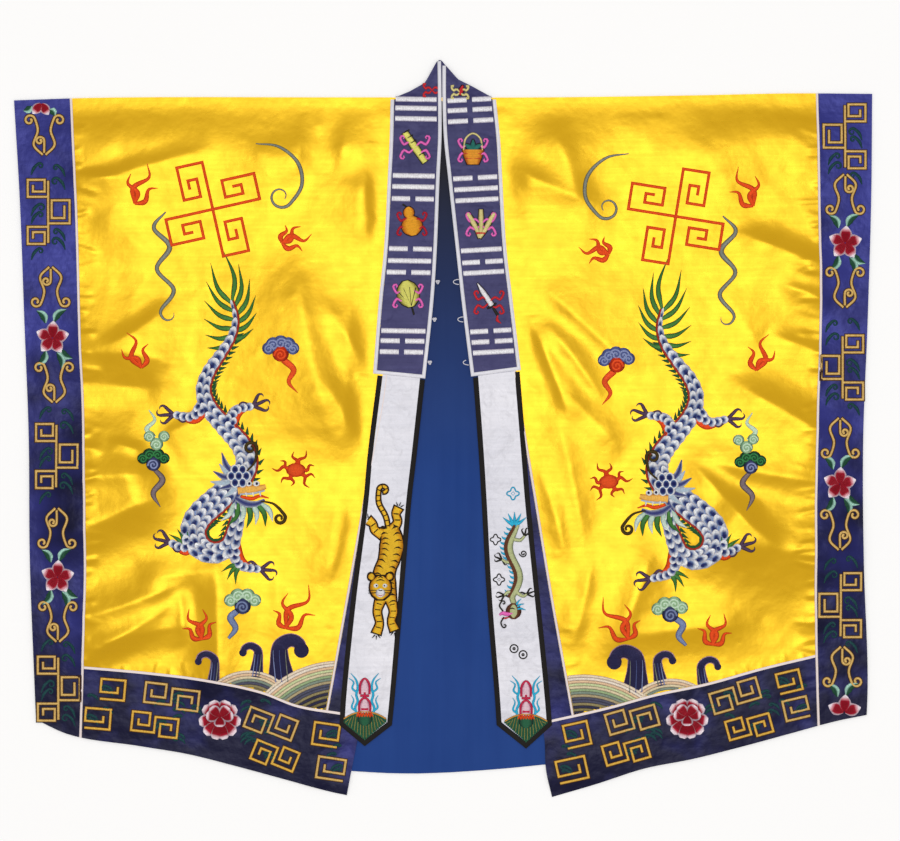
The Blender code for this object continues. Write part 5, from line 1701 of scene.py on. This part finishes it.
def tiger(work, at):
    """A tiger seen as it climbs down, its head to one side, striped from both edges of its back."""
    shapes = [(TIGER, (6, 7, 7, 6, 5), TIGER_TAIL)]
    shapes += [(TIGER, TIGER_LEG_WIDTHS, leg) for leg, _ in TIGER_LEGS]
    shapes.append((TIGER, TIGER_WIDTHS, TIGER_BODY))
    work.figure(shapes, at, rim=OUTLINE)
    crossed(work, np.array(TIGER_TAIL) + at, 11.0, 6.5, 2.2, TIGER_DARK, 2)
    spots = curve(np.array(TIGER_BODY) + at, STRIPE_PITCH)
    ahead = np.gradient(spots, axis=0)
    aside = np.stack([-ahead[:, 1], ahead[:, 0]], axis=1) / np.hypot(*ahead.T)[:, None]
    for number, (spot, square, step) in enumerate(zip(spots, aside, ahead)):
        for hand in (-1, 1):
            shift = step * (0.25 * hand)
            stripe = [spot + square * 20 * hand + shift, spot + square * 12 * hand + shift - step * 0.2,
                      spot + square * 3 * hand + shift + step * 0.15]
            work.stitch(curve(stripe, 2.0), (1, 5, 1), TIGER_DARK, 2)
    for leg, heading in TIGER_LEGS:
        crossed(work, np.array(leg) + at, 14.0, 10.0, 2.6, TIGER_DARK, 2.2)
        for angle in (-0.7, 0.0, 0.7):
            spot = np.array(leg[-1]) + at
            reach = np.array([cos(heading + angle), sin(heading + angle)])
            work.stitch([spot + reach * 5, spot + reach * 13], (3, 0.8), NEAR_BLACK, 3)
    face = TIGER_HEAD + at
    ears = [(TIGER, 13 * ROUND, [(hand * 17, 15), (hand * 18, 21), (hand * 17, 27)]) for hand in (-1, 1)]
    work.figure(ears, face, layer=3, rim=OUTLINE)
    work.figure([(TIGER, 42 * ROUND, [(0, 22), (0, 8), (0, -8), (0, -24)])], face, layer=3.4, rim=OUTLINE)
    work.figure([(STEEL, 20 * ROUND, [(0, -3), (0, -10), (0, -20)])], face, layer=5)
    for hand in (-1, 1):
        disc(work, face + (9 * hand, 3), 10, 8, WHITE_THREAD, 5.2)
        disc(work, face + (8 * hand, 3), 4, 4, TIGER_DARK, 5.8)
        for rise in (-6, -11):
            work.stitch([face + (8 * hand, rise), face + (24 * hand, rise - 1)], 1.4, NEAR_BLACK, 6)
    for rise, half in ((12, 9), (18, 5)):
        work.stitch(curve([face + (-half, rise), face + (0, rise + 3), face + (half, rise)], 2.0),
                    (1, 3, 1), TIGER_DARK, 5.2)
    work.stitch([face + (-4, -6), face + (0, -7), face + (4, -6)], (3, 5, 3), NEAR_BLACK, 6)
    work.stitch(curve([face + (-6, -15), face + (0, -17), face + (6, -15)], 2.0), (1, 4, 1), RED_RIBBON, 6)


CYAN = edged(dyed("34c4ec"), dyed("1c9cc8"))
YELLOW_GREEN = edged(dyed("ccd49c"), dyed("7c8c60"))
SCALE_BROWN = edged(dyed("70402a"), dyed("54301c"))
SMALL_WAY = [(5 - 10 * sin(y / 19.0 + 0.8), y) for y in range(60, -92, -12)] + [(4, -98)]
SMALL_LEGS = [([(1, 32), (16, 30), (25, 38)], 1.2), ([(4, -12), (-11, -14), (-20, -9)], 2.6),
              ([(8, -74), (22, -82), (29, -78)], 0.2), ([(6, -76), (-8, -74), (-15, -80)], 3.3)]
SMALL_HEAD = np.array([3.0, -112.0])
DRAGON_BACK = [(x - 7, y) for x, y in SMALL_WAY[:-1]]
SMALL_DRAGON = [
    *((CYAN, (8, 6, 1), [(5, 58), (5 + 14 * sin(turn), 58 + 12 * cos(turn)),
                         (5 + 30 * sin(turn), 58 + 28 * cos(turn))])
      for turn in (-0.9, -0.45, 0.0, 0.45, 0.9)),
    *((YELLOW_GREEN, (8, 7, 5), leg) for leg, _ in SMALL_LEGS),
    (YELLOW_GREEN, (6, 12, 14, 14, 14, 13, 11), SMALL_WAY),
    (SCALE_BROWN, (5, 9, 9, 9, 9, 8, 7), DRAGON_BACK),
    *((CYAN, (6, 5, 1), [tuple(SMALL_HEAD), tuple(SMALL_HEAD + (13 * sin(turn), 18 * cos(turn) + 4)),
                         tuple(SMALL_HEAD + (24 * sin(turn), 32 * cos(turn)))]) for turn in (0.7, 1.1, 1.5)),
    (SCALE_BROWN, 32 * ROUND, [tuple(SMALL_HEAD + (0, y)) for y in (16, 5, -5, -16)]),
    (YELLOW_GREEN, 26 * ROUND, [tuple(SMALL_HEAD + (0, y)) for y in (13, 4, -4, -13)]),
    (PINK_RIBBON, (4, 9, 8, 4),
     [tuple(SMALL_HEAD + spot) for spot in ((-2, -4), (-12, -6), (-22, -4), (-28, -8))]),
    (RED_RIBBON, (1, 4, 1), [tuple(SMALL_HEAD + spot) for spot in ((-8, -12), (-16, -14), (-24, -14))]),
    (NEAR_BLACK, (2, 4, 2), [tuple(SMALL_HEAD + spot) for spot in ((-8, 4), (-3, 6), (3, 4))]),
    (NEAR_BLACK, (3, 3, 2), curled([(-18, -112), (-25, -102), (-22, -94)], 5, -1, 0.8)),
    (NEAR_BLACK, (3, 3, 2), curled([(-16, -124), (-22, -134), (-20, -142)], 5, 1, 0.8)),
]
OUTLINE_TURNS = np.linspace(0.0, 2 * pi, 25)
QUATREFOIL = np.stack([np.cos(OUTLINE_TURNS), np.sin(OUTLINE_TURNS)], axis=1) * (
    10.0 + 2.6 * np.cos(4 * OUTLINE_TURNS))[:, None]
# Cloud outlines on the streamer: thread, middle and size
CLOUD_OUTLINES = [(CYAN, 140, -130, 1.0), (NEAR_BLACK, 112, -302, 0.9), (NEAR_BLACK, 105, -222, 0.85),
                  (CYAN, 140, -130, 0.3), (NEAR_BLACK, 112, -302, 0.25)]
SMALL_RINGS = [(142, -440, 8), (160, -452, 8), (142, -440, 2), (160, -452, 2)]
MOUND_GREEN = edged(dyed("2e6c4c"), dyed("1e3c30"))
GOLD_FINE = dyed("b09c48")
PILLAR_WHITE = edged(dyed("fcdce8"), dyed("f090b4"), 0.4)
PILLAR_RED = edged(dyed("e02c58"), dyed("a81c3c"))
# Each arch of a pillar: its foot and its half width
ARCHES = ((0, 11), (38, 9.5))
PILLAR_FLAMES = [
    (CYAN, (5, 5, 5, 5, 4, 1), [(16, -2), (19, 11), (14, 24), (17, 37), (14, 50), (17, 66), (28, 80)]),
    (CYAN, (4, 4, 3, 1), [(17, 4), (26, 12), (22, 26), (27, 36)]),
    (CYAN, (4, 4, 3, 1), [(16, 42), (25, 50), (22, 62), (32, 70)]),
]
MOUND_REACH = 42.0
MOUND_STEP = 3.0


def crossed(work, points, pitch, length, width, tint, layer):
    """Short bars across a path, evenly spaced."""
    spots = curve(points, pitch)
    ahead = np.gradient(spots, axis=0)
    square = np.stack([-ahead[:, 1], ahead[:, 0]], axis=1) / np.hypot(*ahead.T)[:, None]
    for spot, aside in zip(spots[1:-1], square[1:-1]):
        work.stitch([spot - aside * length / 2, spot + aside * length / 2], width, tint, layer)


def mound(work, side, middle_x, floor):
    """The green mound at a streamer's point: upright stitches, gold lines and a gold rim."""
    tip_x, tip_y = side.tip.x / MM, side.tip.y / MM
    slope = (STREAMERS[-1].y / MM - tip_y) / abs(tip_x - float(side.streamer_outer(STREAMERS[-1].y)) / MM)
    brow = []
    for number, away in enumerate(np.arange(-MOUND_REACH, MOUND_REACH + 1, MOUND_STEP)):
        x = middle_x + away
        low = tip_y + (BINDING / MM - 0.6) * hypot(1.0, slope) + abs(x - tip_x) * slope
        high = floor + 3 - 0.008 * away ** 2
        if high - low > 3:
            brow.append((x, high))
            work.stitch(even([(x, low), (x, high)], 4.0), MOUND_STEP * 1.1, MOUND_GREEN, 0.5, columns=4)
            if number % 2:
                work.stitch(even([(x, low + 3), (middle_x + away * 0.8, high - 2)], 4.0), 1.0, GOLD_FINE, 2)
    work.stitch(curve(brow), 3.4, edged(dyed("f0b048"), dyed("8c5c2c")), 2)
    disc(work, (middle_x, floor - 12), 30, 26, MOUND_GREEN, 2.4)
    for away in (-8, 0, 8):
        work.stitch([(middle_x + away * 0.6, floor - 22), (middle_x + away, floor - 6)], 1.1, GOLD_FINE, 3)
    squiggle = [(middle_x + 2.6 * k, floor - 3 + (3.5 if k % 2 else -3.5)) for k in range(-6, 7)]
    work.stitch(curve(squiggle, 1.5), 3.0, FIRE, 3.5)


for side in HALVES:
    mark = Needlework(f"streamer_embroidery_{side.name}", cloth_under(f"streamer_{side.name}"))
    if side is LEFT:
        at = np.array([-116, -261])
        tiger(mark, at)
    else:
        at = np.array([138, -253])
        mark.figure(SMALL_DRAGON, at)
        crossed(mark, np.array(DRAGON_BACK) + at, 5.5, 8.0, 2.0, YELLOW_GREEN, 2)
        for spot in curve(np.array(DRAGON_BACK) + at, 11.0)[1:-1]:
            mark.stitch([spot - (4, 0), spot - (10, -2), spot - (13, -6)], (6, 4, 0.6), CYAN)
        for thread, x, y, size in CLOUD_OUTLINES:
            mark.stitch(curve(QUATREFOIL * size, 2.0) + (x, y), 2.8 * size, thread)
        mark.stitch(curve(curled([(152, -250), (155, -254)], 7, 1, 1.4, 0.2), 2.0), 2.6, NEAR_BLACK)
        for x, y, radius in SMALL_RINGS:
            turns = np.linspace(0.0, 2 * pi, 15)
            mark.stitch(np.stack([x + radius * np.cos(turns), y + radius * np.sin(turns)], axis=1), 2.6,
                        NEAR_BLACK)
        for leg, heading in SMALL_LEGS:
            claw(mark, at + leg[-1], heading, 0.5, thread=NEAR_BLACK)
    middle_x = side.tip.x / MM
    floor_y = side.tip.y / MM + 66
    for foot, half in ARCHES:
        arch = [(-half, 0), (-half, 18), (-0.6 * half, 27), (0, 31), (0.6 * half, 27), (half, 18), (half, 0)]
        mark.stitch(even([(middle_x, floor_y + foot), (middle_x, floor_y + foot + 29)], 4.0),
                    np.multiply((2, 2, 1.9, 1.3, 0.5), half), PILLAR_WHITE, 1, columns=4)
        mark.stitch(curve(arch) + (middle_x, floor_y + foot), 4.4, PILLAR_RED, 2)
    for ends in ([(-9, 35), (9, 35)], [(-7, 8), (7, 8)], [(0, 28), (0, 42)]):
        mark.stitch(np.array(ends) + (middle_x, floor_y), 5, PILLAR_RED, 2.4)
    for hand in (-1, 1):
        mark.figure(PILLAR_FLAMES, (middle_x, floor_y), flip=hand)
    mound(mark, side, middle_x, floor_y)
    mark.finish()


# The floor, the light and the camera. A pale floor under one large soft panel high overhead, with a dim even
# surround, so that flat satin shines and its slopes turn amber. The camera looks straight down.
PHOTO_WIDTH = 1.80
LENS = 150.0
SENSOR = 36.0
VIEW_CENTRE = Vector((0.014, 0.016, 0.0))
camera_height = PHOTO_WIDTH * LENS / SENSOR
camera = bpy.data.objects.new("camera", bpy.data.cameras.new("camera"))
camera.data.lens = LENS
camera.data.sensor_width = SENSOR
camera.data.clip_end = 100.0
camera.location = VIEW_CENTRE + Vector((0.0, 0.0, camera_height))
bpy.context.scene.collection.objects.link(camera)
bpy.context.scene.camera = camera

floor_form = bmesh.new()
bmesh.ops.create_grid(floor_form, x_segments=1, y_segments=1, size=7.0)
floor_mesh = bpy.data.meshes.new("floor")
floor_form.to_mesh(floor_mesh)
floor_form.free()
floor = bpy.data.objects.new("floor", floor_mesh)
floor.location.z = -0.0003
floor_paint = Finish("white_floor", {
    "Base Color": (0.95, 0.95, 0.95, 1.0), "Roughness": 0.9, "Specular IOR Level": 0.1,
    "Emission Color": (1.0, 1.0, 1.0, 1.0), "Emission Strength": 0.18})
floor_mesh.materials.append(floor_paint.material)
bpy.context.scene.collection.objects.link(floor)

PANEL_HEIGHT = 10.0
PANEL_SIZE = 4.3
PANEL_POWER = 260.0
panel = bpy.data.lights.new("panel", "AREA")
panel.shape = "RECTANGLE"
panel.size = PANEL_SIZE
panel.size_y = PANEL_SIZE * 0.9
panel.energy = PANEL_POWER
hung = bpy.data.objects.new("panel", panel)
hung.location = (0.0, 0.2, PANEL_HEIGHT)
bpy.context.scene.collection.objects.link(hung)
surround = bpy.data.worlds.new("surround")
surround.use_nodes = True
surround.node_tree.nodes["Background"].inputs["Color"].default_value = (1.0, 0.98, 0.96, 1.0)
surround.node_tree.nodes["Background"].inputs["Strength"].default_value = 0.6
bpy.context.scene.world = surround
bpy.context.scene.view_settings.view_transform = "Standard"
